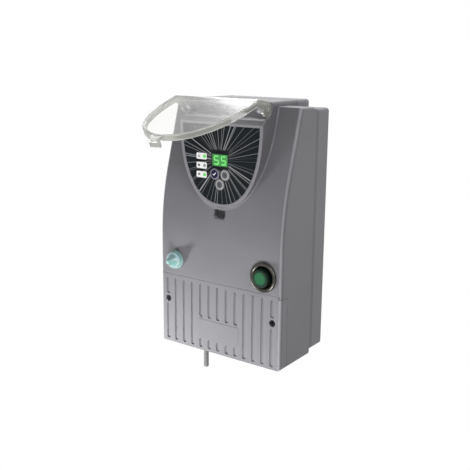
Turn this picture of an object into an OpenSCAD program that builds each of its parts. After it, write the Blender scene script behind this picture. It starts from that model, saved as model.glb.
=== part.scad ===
// Automatic poultry-house door opener: a wall case with a battery-driven cord winch inside, a clear
// lid over a U-shaped control turret, a light sensor, a push button and a ribbed battery cover.
// The front faces -Y, the wall is the plane Y = 0 and +Z is up. The origin is in the middle of the
// back face. The lid is drawn where it stands open. All sizes are in millimetres.

/* [Case] */
// Width of the front shell
case_w = 138; // [137:0.5:141]
// Height of the front shell beside the centre block
case_h = 232; // [231:0.5:235]
// Depth from the wall to the flat lower front
case_d = 78; // [77.5:0.5:79]
// Wall thickness of both shells
wall = 2.2; // [2:0.1:2.4]
// Depth of the rear shell, from the wall to the seam
rear_d = 26; // [25.5:0.5:26.5]
// Inset of the rear shell behind the seam
rear_step = 2.4; // [2.3:0.1:2.6]
// Radius of the upright front edges
edge_r = 4; // [3:0.5:5]
// Radius of the case corners seen from the front
outline_r = 3; // [2.5:0.5:4]

/* [Leaning shoulders] */
// Angle by which the upper front leans back
lean = 16.2; // [15.5:0.1:16.5]
// Height at which the lower front starts to curve back
lean_z = -10; // [-12:1:-8]
// Radius of that curve
lean_r = 244; // [236:2:250]

/* [Control turret] */
// Radius of the turret's upper corners
block_r = 3; // [2:0.5:4]
// Half width of the U-shaped turret
turret_half_w = 45.5; // [45:0.5:46]
// Height of the lowest point of the U
turret_tip_z = 25; // [24:0.5:26]
// Height above which the sides of the U are straight
turret_side_z = 100; // [99:0.5:101]
// Power of the superellipse that rounds the U
turret_power = 2.25; // [2.1:0.05:2.5]
// How far the turret's face stands behind the lower front
turret_inset = 2.2; // [2:0.1:2.4]
// Height of the flat top of the centre block
block_top_z = 120.5; // [120:0.5:121.5]
// Width of the rim round the label
label_rim = 3.4; // [3:0.1:4]

/* [Clear lid] */
// Angle from closed to the open rest position
lid_open = 71; // [60:1:75]
// Distance of the hinge axis behind the lower front
hinge_back = 9; // [8.5:0.5:9.5]
// Height of the hinge axis
hinge_z = 114.5; // [114:0.5:115]
// Radius of the hinge pins
pin_r = 1.55; // [1.4:0.05:1.7]
// Thickness of the lid's panel
lid_t = 1.8; // [1.5:0.1:2]

/* [Display and keys] */
// Width of the two-digit display
display_w = 16.3; // [15:0.1:17]
// Height of the digits
display_h = 10.2; // [9.5:0.1:10.4]
// Height of the display's centre
display_z = 67.9; // [67:0.1:69]
// Diameter of the round keys
key_d = 8.6; // [8:0.1:9]
// Travel of the keys
key_travel = 0.6; // [0.3:0.05:0.6]

/* [Push button] */
// Distance of the button's axis from the side of the case
button_side = 19; // [18:0.5:20]
// Height of the button's and the sensor's axes above the battery cover
button_rise = 15; // [14:0.5:17]
// Diameter of the bezel
bezel_d = 27.2; // [26.5:0.1:28]
// Diameter of the button cap
cap_d = 17; // [16.5:0.1:17.4]
// Travel of the button
button_travel = 3; // [2:0.1:3]

/* [Light sensor] */
// Distance of the sensor's axis from the side of the case
sensor_side = 19; // [18:0.5:20]
// Diameter of the lens at its collar
lens_d = 16; // [15:0.5:16.5]
// How far the lens stands out from the case
lens_h = 14; // [13:0.5:15]

/* [Battery compartment] */
// Height of the battery cover
cover_h = 70; // [69.5:0.5:70.5]
// Depth of the cover where it wraps onto the sides
cover_d = 11; // [10.8:0.1:11.2]
// Number of grooves
grooves = 13; // [9:2:13]
// Width of a groove
groove_w = 4; // [3.4:0.1:4.4]
// Depth of a groove
groove_d = 0.9; // [0.7:0.1:1.2]
// Distance of the cover screws from the sides of the case
cover_screw_side = 9; // [8.5:0.5:9.5]
// Distance of the cover screws below the cover's upper edge
cover_screw_drop = 25.7; // [24:0.1:27]

/* [Winch] */
// Distance of the drum's axis from the middle
drum_x = -26.5; // [-27:0.5:-26]
// Height of the drum's axis
drum_z = 2; // [1:0.5:3]
// Gear module
gear_m = 0.8;
// Teeth of the drum gear
drum_teeth = 54;
// Teeth of the large idler gear
idler_teeth = 48;
// Teeth of both pinions
pinion_teeth = 12;
// Diameter of the lifting cord
cord_d = 5; // [4.6:0.1:5]

/* [Wall fixing] */
// Distance of the lower wall screws from the sides of the case
wall_screw_side = 15; // [14.5:0.5:15.5]
// Height of the lower wall screws above the floor of the case
wall_screw_rise = 21; // [20:0.5:22]
// Diameter of the holes for the lower wall screws
wall_hole_d = 5.8; // [5.6:0.1:6]
// Distance of the keyhole's slot end below the top of the case
keyhole_drop = 19; // [18:0.5:21]

/* [Hidden] */
$fn = 64;

embed = 0.5;                        // how deep a rib or boss runs into the wall that carries it
fit = 0.02;                         // radial clearance of parts pressed or screwed together
free_fit = 0.04;                    // radial clearance of a turning shaft
slide_gap = 0.3;                    // clearance round a sliding key
pilot_r = 1.5;                      // radius of every self-tapping case screw

front_y = -case_d;
seam_y = -rear_d;
case_x = case_w / 2;
case_top = case_h / 2;
floor_z = -case_top;
lean_cy = front_y + lean_r;
side_cut = 0.05;                    // extra half width of that block, cut off level
back_wall = 3;

lap = 4;                            // overlap of the rear shell's tongue inside the front shell
lap_gap = 0.2;
tongue_t = 2;
seal_t = 1;
ledge_t = 2;
top_chamfer_d = 7;
seam_top = case_top - 2 * rear_step + 0.2;

turret_y = front_y + turret_inset;
label_recess = 0.6;
label_t = 0.5;
label_y = turret_y + label_recess;
label_top_z = 99;
panel_in_y = label_y + wall;        // inside of the turret's front wall
cheek_z = 101.2;                    // where the cheeks turn back at 45 degrees
step_y = front_y + hinge_back + 7.5; // wall behind the hinge
trough_x = turret_half_w - 4.5;     // half width of the trough between the cheeks
trough_z = 106.4;
groove_top_z = 103.5;
groove_h = 2.1;
rail_t = 1.5;
rail_h = 1.4;
u_steps = 40;
corner_steps = 6;

hinge_y = front_y + hinge_back;
ear_r = 6.8;
ear_in = turret_half_w - 3;
pocket_r = ear_r + 0.5;
pocket_in = ear_in - 0.3;
post_in = turret_half_w - 9;
post_r = 4;
pin_in = turret_half_w - 7.5;
pin_out = turret_half_w - 0.5;
lid_half_w = turret_half_w - 0.1;
lid_y = hinge_y - 13;               // outer face of the closed panel
lid_rim_y = turret_y - 0.4;         // free edge of the closed lid's walls
lid_bend_z = hinge_z - 10;
lid_end = [hinge_y - 6.2, hinge_z + 3.2];
lid_end_in = [hinge_y - 4.6, hinge_z + 2.4];
lid_panel_in = lid_y + lid_t;
lid_bend_in_z = lid_bend_z - 0.43;
lid_inner_end = hinge_y - 7;
lid_arm = [hinge_y - 4, hinge_z - 9.5];
tab_w = 11;
tab_z = 17.6;
tab_t = 2.5;
hook_end_y = front_y + 4.5;
hook_z = [18, 20.5];
catch_w = 12.4;
catch_z = [14.8, 23.3];
catch_y = front_y + 7.5;

board_y = turret_y + 9.8;            // front face of the control board
board_t = 1.6;
board_inset = 4.7;
board_top_z = label_top_z - 2;
socket_z = turret_tip_z + 9;        // foot of the board's lead socket
socket_t = 9;
post_x = [turret_half_w - 11.5, turret_half_w - 23.5];
board_posts = [[-post_x[0], 92], [post_x[0], 92], [-post_x[1], 42], [post_x[1], 42]];
display_gap = 0.2;
key_spots = [[-5.7, 55.2], [5.7, 55.2], [0, 46]];
key_r = key_d / 2;
key_proud = 0.6;
switch_h = 3.5;
light_spots = [[-17.3, 70.2], [-17.3, 61.8], [-17.3, 53.5]];
light_r = 1.5;

button_x = case_x - button_side;
sensor_x = sensor_side - case_x;
bezel_r = bezel_d / 2;
bezel_proud = 2.5;
barrel_r = 11.9;
barrel_back = front_y + 20;
button_nut_r = 14.6;                // corner radius of the hexagon
cap_r = cap_d / 2;
cap_proud = 6;
cap_flange_r = 9.1;
cap_flange_y = front_y + 5;
bezel_lip_r = 8.75;
bezel_bore_r = 9.3;
stop_y = [front_y + 14, front_y + 16];
stem_r = 3;
spring_turns = 5;
spring_r = 4.6;
spring_wire = 0.45;

lens_r = lens_d / 2;
sensor_flange_r = 9;
sensor_flange_t = 1.6;
sensor_barrel_r = 6;
sensor_back = front_y + 14;
sensor_nut_r = 10;                  // corner radius of the hexagon
lens_t = 1.4;

cover_z = floor_z + cover_h;
button_z = cover_z + button_rise;
cover_screw_x = case_x - cover_screw_side;
cover_screw_z = cover_z - cover_screw_drop;
groove_pitch = 2 * cover_screw_x / (grooves - 1);
cover_back = front_y + cover_d;
cover_side_z = cover_z - 3;
cover_front_t = 4.4;
bulkhead_t = 2.5;
groove_z = [floor_z + 3, cover_z - 4];
plate_gap_z = [floor_z + 11.5, floor_z + 33.5];
screw_gap = 5;
well_x = 32.5;
well_z = [floor_z + 7, cover_z - 6];
well_back = front_y + 29;
well_wall = 2;
seal_x = 33.6;
seal_w = 2.4;
cover_seal_t = 1.4;
cell_r = 7.1;
cell_h = 50.5;
cell_pitch = 15;
cell_y = front_y + 20;
case_screw_x = case_x - 9;
case_screw_z = [floor_z + 10, 10, case_top - 13.5];
case_screws_at = [for (sx = [-1, 1], z = case_screw_z) [sx * case_screw_x, z]];
wall_screw_x = case_x - wall_screw_side;
wall_screw_z = floor_z + wall_screw_rise;
keyhole_z = case_top - keyhole_drop;
case_screw_seat = -14;
rear_boss_end = -24;

idler_turn = 19.95;                 // direction from the drum to the idler
motor_turn = -19.5;                 // direction from the idler to the motor
idler_cd = gear_m * (drum_teeth + pinion_teeth) / 2;
motor_cd = gear_m * (idler_teeth + pinion_teeth) / 2;
idler_x = drum_x + idler_cd * cos(idler_turn);
idler_z = drum_z + idler_cd * sin(idler_turn);
motor_x = idler_x + motor_cd * cos(motor_turn);
motor_z = idler_z + motor_cd * sin(motor_turn);
plate_y = -29;
plate_t = 2;
plate_x = drum_x + 20.5;            // middle of the drive plate
plate_half_w = 50;
plate_z = [drum_z - 30, drum_z + 31];
plate_posts = [[plate_x - 44, drum_z - 24], [plate_x - 44, drum_z + 24],
               [plate_x + 44, drum_z - 19], [plate_x + 44, drum_z + 25]];
drum_core_r = 14;
drum_flange_r = 23;
drum_y = -40;
drum_gap_w = 15.2;
drum_flange_t = 1.8;
drum_shaft_r = 3;
motor_shaft_r = 1.5;
idler_shaft_r = 2;
drum_gear_y = [-19, -13];
idler_gear_y = [-25, -20];
idler_pinion_y = [-20, -12];
motor_pinion_y = [-25.8, -19.5];
motor_screw_off = 8.5;

cord_r = cord_d / 2;
cord_x = drum_x - drum_core_r - cord_r;
guide_lip = 2;
lead_y = front_y + 25.5;
cord_exit_z = floor_z - guide_lip;
cord_tail_h = 34.4;
cord_tail_steps = 3;
cord_run_steps = 7;
cord_run_h = drum_z - drum_core_r - cord_r / 2 - 0.75 - cord_exit_z;
cord_tail_route = [for (i = [0:cord_tail_steps])
  [cord_x, drum_y, cord_exit_z - cord_tail_h * i / cord_tail_steps]];
cord_run_route = [for (i = [0:cord_run_steps])
  [cord_x, drum_y, cord_exit_z + cord_run_h * i / cord_run_steps]];

// ---- helpers ----

// Fills from the front depth to the back depth an outline drawn in x and z
module stand(front, back) {
  translate([0, back, 0]) rotate([90, 0, 0]) linear_extrude(back - front) children();
}

// Fills from x0 to x1 a profile drawn in y and z
module across(x0, x1) {
  translate([x0, 0, 0]) rotate([90, 0, 90]) linear_extrude(x1 - x0) children();
}

// Turns a profile drawn as radius and forward distance about a line along Y
module turned(x, back, z) {
  translate([x, back, z]) rotate([90, 0, 0]) rotate_extrude() children();
}

// Round bar along Y
module rod(x, z, r, front, back) {
  translate([x, back, z]) rotate([90, 0, 0]) cylinder(r = r, h = back - front);
}

// Round bar along X at the hinge axis
module hinge_rod(r, x0, x1) {
  translate([x0, hinge_y, hinge_z]) rotate([0, 90, 0]) cylinder(r = r, h = x1 - x0);
}

// Box from one corner to the other
module block(low, high) {
  translate(low) cube(high - low);
}

module both_sides() {
  children();
  mirror([1, 0, 0]) children();
}

// Rectangle with round corners between two heights
module slab(half_w, low, high, r) {
  translate([-half_w + r, low]) square([2 * (half_w - r), high - low]);
  translate([-half_w, low + r]) square([2 * half_w, high - low - 2 * r]);
  for (sx = [-1, 1], z = [low + r, high - r]) translate([sx * (half_w - r), z]) circle(r);
}

// Point of the U's superellipse; turn runs from 180 to 360 degrees
function u_point(a, b, turn) = [
  a * sign(cos(turn)) * pow(abs(cos(turn)), 2 / turret_power),
  turret_side_z - b * pow(abs(sin(turn)), 2 / turret_power)
];

// The turret's U outline, moved inwards by g and closed at the top
module u_shape(g, top) {
  a = turret_half_w - g;
  b = turret_side_z - turret_tip_z - g;
  cut = asin(pow(max(0, turret_side_z - top) / b, turret_power / 2));
  arc = [for (i = [0:u_steps]) u_point(a, b, 180 + cut + (180 - 2 * cut) * i / u_steps)];
  r = max(block_r - g, 0.8);
  corner = [for (i = [0:corner_steps]) r * [cos(90 * i / corner_steps), sin(90 * i / corner_steps)]];
  polygon(top <= turret_side_z ? arc
    : concat(arc, [for (c = corner) [a - r + c[0], top - r + c[1]]],
             [for (c = corner) [r - a - c[1], top - r + c[0]]]));
}

// Tube with flat ends swept along a route of points that run straight down or up
module cord_tube(route, r, sides) {
  rings = len(route);
  points = [for (p = route, k = [0:sides - 1]) p + r * [cos(360 * k / sides), sin(360 * k / sides), 0]];
  up = route[1][2] > route[0][2];
  walls = [for (i = [0:rings - 2], k = [0:sides - 1])
    let (a = i * sides + k, b = i * sides + (k + 1) % sides)
    up ? [a, a + sides, b + sides, b] : [a, b, b + sides, a + sides]];
  first = [for (k = [0:sides - 1]) up ? k : sides - 1 - k];
  last = [for (k = [0:sides - 1]) (rings - 1) * sides + (up ? sides - 1 - k : k)];
  polyhedron(points, concat([first], walls, [last]));
}

// Pan-head screw along Y: head in front of the seat, shank behind it; turned when it points forward
module screw(x, z, seat, head_r, head_h, shank_r, length, forward = false) {
  f = forward ? -1 : 1;
  head = [seat - f * head_h, seat];
  shank = [seat, seat + f * length];
  difference() {
    rod(x, z, head_r, min(head), max(head));
    slot = [seat - f * head_h * 1.1, seat - f * head_h * 0.4];
    stand(min(slot), max(slot)) translate([x, z]) {
      square([head_r * 1.2, 0.7], center = true);
      square([0.7, head_r * 1.2], center = true);
    }
  }
  rod(x, z, shank_r, min(shank), max(shank));
}

// Spur gear outline: straight-flanked slim teeth, one tooth pointing along `aim`
module gear_outline(teeth, aim) {
  tip_r = gear_m * (teeth / 2 + 0.9);
  root_r = gear_m * (teeth / 2 - 1.25);
  pitch = 360 / teeth;
  tip_part = 0.1;
  root_part = 0.27;
  rotate(aim) polygon([for (i = [0:teeth - 1], c = [[root_r, -root_part], [tip_r, -tip_part],
                                                   [tip_r, tip_part], [root_r, root_part]])
    let (a = (i + c[1]) * pitch) c[0] * [cos(a), sin(a)]]);
}

// ---- case ----

// Section of the shoulders: x across, v inwards from the front, moved inwards by g; its sides are
// left a little wide for case_outline() to cut
module shoulder_section(g) {
  half = case_x - g + side_cut;
  r = max(edge_r - g, 1);
  translate([-half + r, g]) square([2 * (half - r), case_d - g]);
  translate([-half, g + r]) square([2 * half, case_d - g - r]);
  for (sx = [-1, 1]) translate([sx * (half - r), g + r]) circle(r);
}

// Upright lower front, curve and leaning upper front as one block, moved inwards by g
module leaning_block(g) {
  translate([0, front_y, floor_z]) linear_extrude(lean_z - floor_z) shoulder_section(g);
  translate([0, lean_cy, lean_z]) {
    rotate([90, 0, -90]) rotate_extrude(angle = lean, $fn = 180)
      translate([lean_r, 0]) rotate(90) shoulder_section(g);
    rotate([-lean, 0, 0]) translate([0, -lean_r, 0]) linear_extrude(case_h) shoulder_section(g);
  }
}

// Outline of the case seen from the front, moved inwards by g, up to the depth `back`
module case_outline(g, r, back) {
  stand(front_y - 1, back) slab(case_x - g, floor_z + g, case_top - g, r);
}

// Part of the case that the battery cover takes
module cover_zone() {
  block([-case_x - 1, front_y - 1, floor_z - 1], [case_x + 1, cover_back, cover_side_z]);
  block([-case_x + wall, front_y - 1, floor_z - 1], [case_x - wall, cover_back, cover_z]);
}

// Opening of the front shell at the seam, moved inwards by g
module seam_outline(g) {
  slab(case_x - wall - g, floor_z + wall + g, seam_top - wall - g, 1);
  slab(turret_half_w - wall - g, 0, block_top_z - wall - g, 0.8);
}

// U-shaped turret with the recess for its label
module turret_block() {
  difference() {
    intersection() {
      stand(turret_y - 1, seam_y) u_shape(0, block_top_z);
      across(-case_x, case_x) polygon([
        [turret_y, 0], [turret_y, cheek_z], [step_y, cheek_z + step_y - turret_y],
        [step_y, block_top_z], [seam_y, block_top_z], [seam_y, 0]]);
    }
    stand(turret_y - 2, label_y) u_shape(label_rim, label_top_z);
  }
}

// Space between the cheeks in front of the hinge, with the drip rail left standing
module trough() {
  groove_in = turret_y + wall;
  rail_z = groove_top_z + groove_h;
  across(-trough_x, trough_x) polygon([
    [turret_y - 2, groove_top_z], [groove_in, groove_top_z], [groove_in, rail_z],
    [turret_y, rail_z], [turret_y, trough_z + rail_h], [turret_y + rail_t, trough_z + rail_h],
    [turret_y + rail_t, trough_z], [step_y, trough_z], [step_y, block_top_z + 1],
    [turret_y - 2, block_top_z + 1]]);
}

module turret_cavity() {
  cavity_z = trough_z - wall;
  intersection() {
    stand(panel_in_y - 1, seam_y + 1) u_shape(wall, block_top_z - wall);
    across(-case_x, case_x) polygon([
      [panel_in_y, 0], [panel_in_y, cavity_z - 4], [panel_in_y + 4, cavity_z],
      [step_y + wall, cavity_z], [step_y + wall, block_top_z - wall],
      [seam_y + 1, block_top_z - wall], [seam_y + 1, 0]]);
  }
}

module shoulder_cavity() {
  intersection() {
    leaning_block(wall);
    case_outline(wall, 1, seam_y + 1);
  }
}

// Thicker top rim beside the centre block, under the sloping rear edge
module top_rims() {
  both_sides() block([turret_half_w - wall + 0.1, seam_y - 10, seam_top - wall],
                     [case_x - wall + embed, seam_y, case_top - wall + embed]);
}

module top_chamfer() {
  both_sides() across(turret_half_w, case_x + 1) polygon([
    [seam_y - top_chamfer_d, case_top], [seam_y, case_top - rear_step],
    [seam_y + 1, case_top - rear_step], [seam_y + 1, case_top + 1],
    [seam_y - top_chamfer_d, case_top + 1]]);
}

module seal_ledge() {
  stand(seam_y - lap - seal_t - ledge_t, seam_y - lap - seal_t) difference() {
    seam_outline(-embed);
    seam_outline(2.6);
  }
}

// Shelf, bulkhead and battery well behind the battery cover
module compartment_walls() {
  half = case_x - wall + embed;
  block([-half, front_y + wall - embed, cover_z], [half, cover_back + bulkhead_t, cover_z + wall]);
  difference() {
    union() {
      block([-half, cover_back, floor_z + wall - embed], [half, cover_back + bulkhead_t, cover_z + wall]);
      block([-well_x - well_wall, cover_back + 1, well_z[0] - well_wall],
            [well_x + well_wall, well_back + well_wall, well_z[1] + well_wall]);
    }
    block([-well_x, cover_back - 1, well_z[0]], [well_x, well_back, well_z[1]]);
  }
}

module catch_pocket() {
  block([-catch_w / 2 - 2, front_y + 3, catch_z[0] - 2], [catch_w / 2 + 2, catch_y + 2, catch_z[1] + 2]);
}

// Bosses for the case screws, the cover screws, the board and the screwdriver tubes
module front_bosses() {
  intersection() {
    for (p = case_screws_at) rod(p[0], p[1], 4, p[1] < 0 ? cover_back + 1 : front_y, rear_boss_end - 0.05);
    leaning_block(0.6);
  }
  for (sx = [-1, 1]) {
    rod(sx * cover_screw_x, cover_screw_z, 3.8, cover_back + 1, front_y + 25);
    rod(sx * wall_screw_x, wall_screw_z, 6, cover_back + 1, -back_wall - 0.2);
  }
  for (p = board_posts) rod(p[0], p[1], 3, panel_in_y - embed, board_y);
}

module hinge_posts() {
  both_sides() {
    hinge_rod(post_r, post_in, trough_x + embed);
    block([post_in, hinge_y, hinge_z - post_r], [trough_x + embed, step_y + embed, hinge_z + post_r]);
  }
}

module front_shell() {
  color("dimgray") difference() {
    union() {
      difference() {
        union() {
          intersection() {
            leaning_block(0);
            case_outline(0, outline_r, seam_y);
          }
          turret_block();
        }
        shoulder_cavity();
        turret_cavity();
        cover_zone();
        trough();
        top_chamfer();
      }
      difference() {
        top_rims();
        top_chamfer();
      }
      seal_ledge();
      compartment_walls();
      catch_pocket();
      front_bosses();
      hinge_posts();
    }
    both_sides() {
      hinge_rod(pocket_r, pocket_in, turret_half_w + 1);
      hinge_rod(pin_r + 0.01, pin_in - 0.1, pocket_in + 0.1);
    }
    block([-catch_w / 2, front_y - 1, catch_z[0]], [catch_w / 2, catch_y, catch_z[1]]);
    block([-display_w / 2 - 1, label_y - 1, display_z - display_h / 2 - 1],
          [display_w / 2 + 1, panel_in_y + 0.1, display_z + display_h / 2 + 1]);
    for (p = key_spots) rod(p[0], p[1], key_r + slide_gap, label_y - 1, panel_in_y + 0.1);
    for (p = light_spots) rod(p[0], p[1], light_r + 0.1, label_y - 1, panel_in_y + 0.1);
    rod(button_x, button_z, barrel_r + 0.1, front_y - 1, front_y + wall + 1);
    rod(sensor_x, button_z, sensor_barrel_r + 0.1, front_y - 1, front_y + wall + 1);
    for (p = case_screws_at) rod(p[0], p[1], pilot_r + fit, -42, rear_boss_end + 1);
    for (sx = [-1, 1]) {
      rod(sx * cover_screw_x, cover_screw_z, pilot_r + fit, cover_back - 1, front_y + 23);
      rod(sx * wall_screw_x, wall_screw_z, 4.5, cover_back - 1, 0);
    }
    for (p = board_posts) rod(p[0], p[1], 1.25 + fit, board_y - 5, board_y + 1);
    translate([cord_x, drum_y, floor_z - 1]) cylinder(r = 4.45, h = wall + 2);
  }
}

module rear_shell() {
  color("dimgray") difference() {
    union() {
      difference() {
        union() {
          stand(seam_y, 0) {
            slab(case_x - rear_step, floor_z + rear_step, case_top - rear_step, outline_r);
            slab(turret_half_w, 0, block_top_z, block_r);
          }
          stand(seam_y - lap, seam_y) seam_outline(lap_gap);
        }
        stand(seam_y - lap - 1, -back_wall) seam_outline(lap_gap + tongue_t);
      }
      for (p = case_screws_at) rod(p[0], p[1], 4.8, rear_boss_end, -back_wall + embed);
      for (p = plate_posts) rod(p[0], p[1], 4, plate_y + plate_t, -back_wall + embed);
      rod(drum_x, drum_z, 6, -10, -back_wall + embed);
      rod(idler_x, idler_z, 4.5, -8, -back_wall + embed);
    }
    for (p = case_screws_at) {
      rod(p[0], p[1], 3.4, case_screw_seat, 1);
      rod(p[0], p[1], pilot_r + 0.2, rear_boss_end - 1, 0);
    }
    for (p = plate_posts) rod(p[0], p[1], pilot_r + fit, plate_y, -16);
    rod(drum_x, drum_z, 4 + fit, -11, -3.2);
    rod(idler_x, idler_z, idler_shaft_r + fit, -9, -3.6);
    for (sx = [-1, 1]) rod(sx * wall_screw_x, wall_screw_z, wall_hole_d / 2, -back_wall - 1, 1);
    stand(-back_wall - 1, 1) {
      translate([0, keyhole_z - 7]) circle(5);
      translate([0, keyhole_z]) circle(2.5);
      translate([-2.5, keyhole_z - 7]) square([5, 7]);
    }
  }
}

module case_seal() {
  color("black") stand(seam_y - lap - seal_t, seam_y - lap) difference() {
    seam_outline(lap_gap + 0.1);
    seam_outline(lap_gap + tongue_t);
  }
}

module case_screws() {
  color("silver") for (p = case_screws_at)
    screw(p[0], p[1], case_screw_seat, 2.9, 2.4, pilot_r, 26, forward = true);
}

// ---- battery compartment ----

// One groove with round ends between two heights
module groove(low, high) {
  r = groove_w / 2;
  stand(front_y - 1, front_y + groove_d) {
    translate([-r, low + r]) square([groove_w, high - low - groove_w]);
    translate([0, low + r]) circle(r);
    translate([0, high - r]) circle(r);
  }
}

module cover_grooves() {
  middle = (grooves - 1) / 2;
  for (i = [-middle:middle]) translate([i * groove_pitch, 0, 0]) {
    if (abs(i) <= 2) {
      groove(groove_z[0], plate_gap_z[0]);
      groove(plate_gap_z[1], groove_z[1]);
    } else if (abs(i * groove_pitch) > cover_screw_x - screw_gap) {
      groove(groove_z[0], cover_screw_z - screw_gap);
      groove(cover_screw_z + screw_gap, groove_z[1]);
    } else {
      groove(groove_z[0], groove_z[1]);
    }
  }
}

module ring_outline(g) {
  translate([-seal_x - g, well_z[0] - 1 - g])
    square([2 * (seal_x + g), well_z[1] - well_z[0] + 2 + 2 * g]);
}

// Rectangular ring round the battery well
module well_ring(g0, g1) {
  difference() {
    ring_outline(g0);
    ring_outline(g1);
  }
}

module battery_cover() {
  line = 0.15;                      // parting line round the cover
  color("darkgray") difference() {
    union() {
      difference() {
        intersection() {
          leaning_block(0);
          case_outline(0, outline_r, cover_back - line);
          union() {
            block([-case_x - 1, front_y - 1, floor_z - 1], [case_x + 1, cover_back - line, cover_side_z - line]);
            block([-case_x + wall + line, front_y - 1, floor_z - 1],
                  [case_x - wall - line, cover_back - line, cover_z - line]);
          }
        }
        block([-case_x + wall, front_y + cover_front_t, floor_z + wall],
              [case_x - wall, seam_y, cover_z - wall]);
      }
      stand(front_y + cover_front_t - embed, cover_back - cover_seal_t) well_ring(seal_w, 0);
      for (sx = [-1, 1]) rod(sx * cover_screw_x, cover_screw_z, 5, front_y + 1, cover_back - 0.05);
    }
    cover_grooves();
    for (sx = [-1, 1]) {
      rod(sx * cover_screw_x, cover_screw_z, 3.1, front_y - 1, front_y + 2.8);
      rod(sx * cover_screw_x, cover_screw_z, pilot_r + 0.2, front_y, cover_back + 1);
    }
  }
}

module cover_seal() {
  color("black") stand(cover_back - cover_seal_t, cover_back) well_ring(seal_w, 0);
}

module cover_screws() {
  color("dimgray") for (sx = [-1, 1])
    screw(sx * cover_screw_x, cover_screw_z, front_y + 2.8, 2.65, 2, pilot_r, 18);
}

module cell_places() {
  for (i = [-1.5:1:1.5]) translate([i * cell_pitch, cell_y, (well_z[0] + well_z[1]) / 2]) children();
}

module battery_holder() {
  color("black") difference() {
    block([-well_x + 0.3, cover_back + 0.4, well_z[0] + 0.2], [well_x - 0.3, well_back - 0.1, well_z[1] - 0.2]);
    cell_places() {
      cylinder(r = cell_r + 0.15, h = cell_h + 2.6, center = true);
      translate([-cell_r - 0.15, -10, -cell_h / 2 - 1.3]) cube([2 * cell_r + 0.3, 10, cell_h + 2.6]);
    }
  }
}

module batteries() {
  color("goldenrod") cell_places() {
    translate([0, 0, -cell_h / 2]) cylinder(r = cell_r, h = cell_h - 1.5);
    translate([0, 0, cell_h / 2 - 1.5]) cylinder(r = 2.7, h = 1.5);
  }
}

module battery_contacts() {
  color("silver") cell_places() for (end = [-1, 1]) translate([0, 0, end * (cell_h / 2 + 1.05)]) {
    translate([-4.5, -4.5, -0.2]) cube([9, 9, 0.4]);
    translate([0, 0, end < 0 ? 0.1 : -0.95]) cylinder(r = 2.4, h = 0.85);
  }
}

// ---- control turret ----

module keypad_label() {
  color("black") stand(label_y - label_t, label_y) difference() {
    u_shape(label_rim + 0.1, label_top_z - 0.1);
    translate([-display_w / 2 - 0.8, display_z - display_h / 2 - 0.8])
      square([display_w + 1.6, display_h + 1.6]);
    for (p = key_spots) translate(p) circle(key_r + slide_gap);
    for (p = light_spots) translate(p) circle(light_r + 0.1);
  }
}

module display_module() {
  color("black") {
    block([-display_w / 2 - 0.8, label_y + 0.05, display_z - display_h / 2 - 0.8],
          [display_w / 2 + 0.8, panel_in_y + 0.2, display_z + display_h / 2 + 0.8]);
    block([-11, panel_in_y + 0.1, display_z - 6.6], [11, board_y, display_z + 6.6]);
  }
}

module status_lights() {
  color("limegreen") for (p = light_spots) {
    rod(p[0], p[1], light_r, label_y - 0.4, board_y);
    rod(p[0], p[1], light_r + 0.4, board_y - 2, board_y);
  }
}

module key_switches() {
  color("gray") for (p = key_spots) {
    stand(board_y - switch_h, board_y) translate(p) square(6, center = true);
    rod(p[0], p[1], 1.7, board_y - switch_h - 0.8, board_y - switch_h);
  }
}

module key(at) {
  front = label_y - label_t - key_proud;
  turned(at[0], board_y - switch_h - 0.85 - key_travel, at[1]) {
    depth = board_y - switch_h - 0.85 - key_travel - front;
    flange_back = depth - (panel_in_y + 0.1 - front) - 1;
    polygon([[0, 0], [2, 0], [2, flange_back], [5.3, flange_back], [5.3, flange_back + 1],
             [key_r, flange_back + 1], [key_r, depth - 0.3], [key_r - 0.3, depth], [0, depth]]);
  }
}

module key_confirm() { color("navy") key(key_spots[0]); }
module key_forward() { color("dimgray") key(key_spots[1]); }
module key_back() { color("dimgray") key(key_spots[2]); }

module control_board() {
  color("darkgreen") stand(board_y, board_y + board_t) difference() {
    u_shape(board_inset, board_top_z);
    for (p = board_posts) translate(p) circle(1.4);
  }
}

module board_screws() {
  color("silver") for (p = board_posts)
    screw(p[0], p[1], board_y + board_t, 2.5, 1.7, 1.25, 6, forward = true);
}

module board_components() {
  back = board_y + board_t;
  color("black") {
    block([-8, back, display_z - 5.9], [8, back + 2.2, display_z + 6.1]);
    block([-30, back, board_top_z - 21], [-14, back + 10, board_top_z - 7]);
    block([-9, back, socket_z], [9, back + socket_t, socket_z + 6]);
    block([14, back, display_z - 7.9], [30, back + 3, display_z + 0.1]);
    for (x = [-18, 16]) translate([x, back, display_z - 15.9]) rotate([-90, 0, 0]) cylinder(r = 4, h = 11);
  }
}

// ---- push button ----

module button_bezel() {
  back = barrel_back;
  front = front_y - bezel_proud;
  color("dimgray") turned(button_x, back, button_z) {
    lip_back = back - cap_flange_y;
    depth = back - front;
    seat = back - front_y;
    polygon([[bezel_lip_r, lip_back], [bezel_bore_r, lip_back], [bezel_bore_r, back - stop_y[0]],
             [stem_r + 0.3, back - stop_y[0]], [stem_r + 0.3, back - stop_y[1]],
             [bezel_bore_r, back - stop_y[1]], [bezel_bore_r, 0], [barrel_r, 0], [barrel_r, seat],
             [bezel_r, seat], [bezel_r, depth - 1], [bezel_r - 1, depth], [bezel_r - 2.6, depth],
             [bezel_lip_r, depth - 1.4]]);
  }
}

module button_nut() {
  color("black") stand(front_y + wall, front_y + wall + 5) translate([button_x, button_z]) difference() {
    circle(r = button_nut_r, $fn = 6);
    circle(r = barrel_r + 0.05);
  }
}

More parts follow.
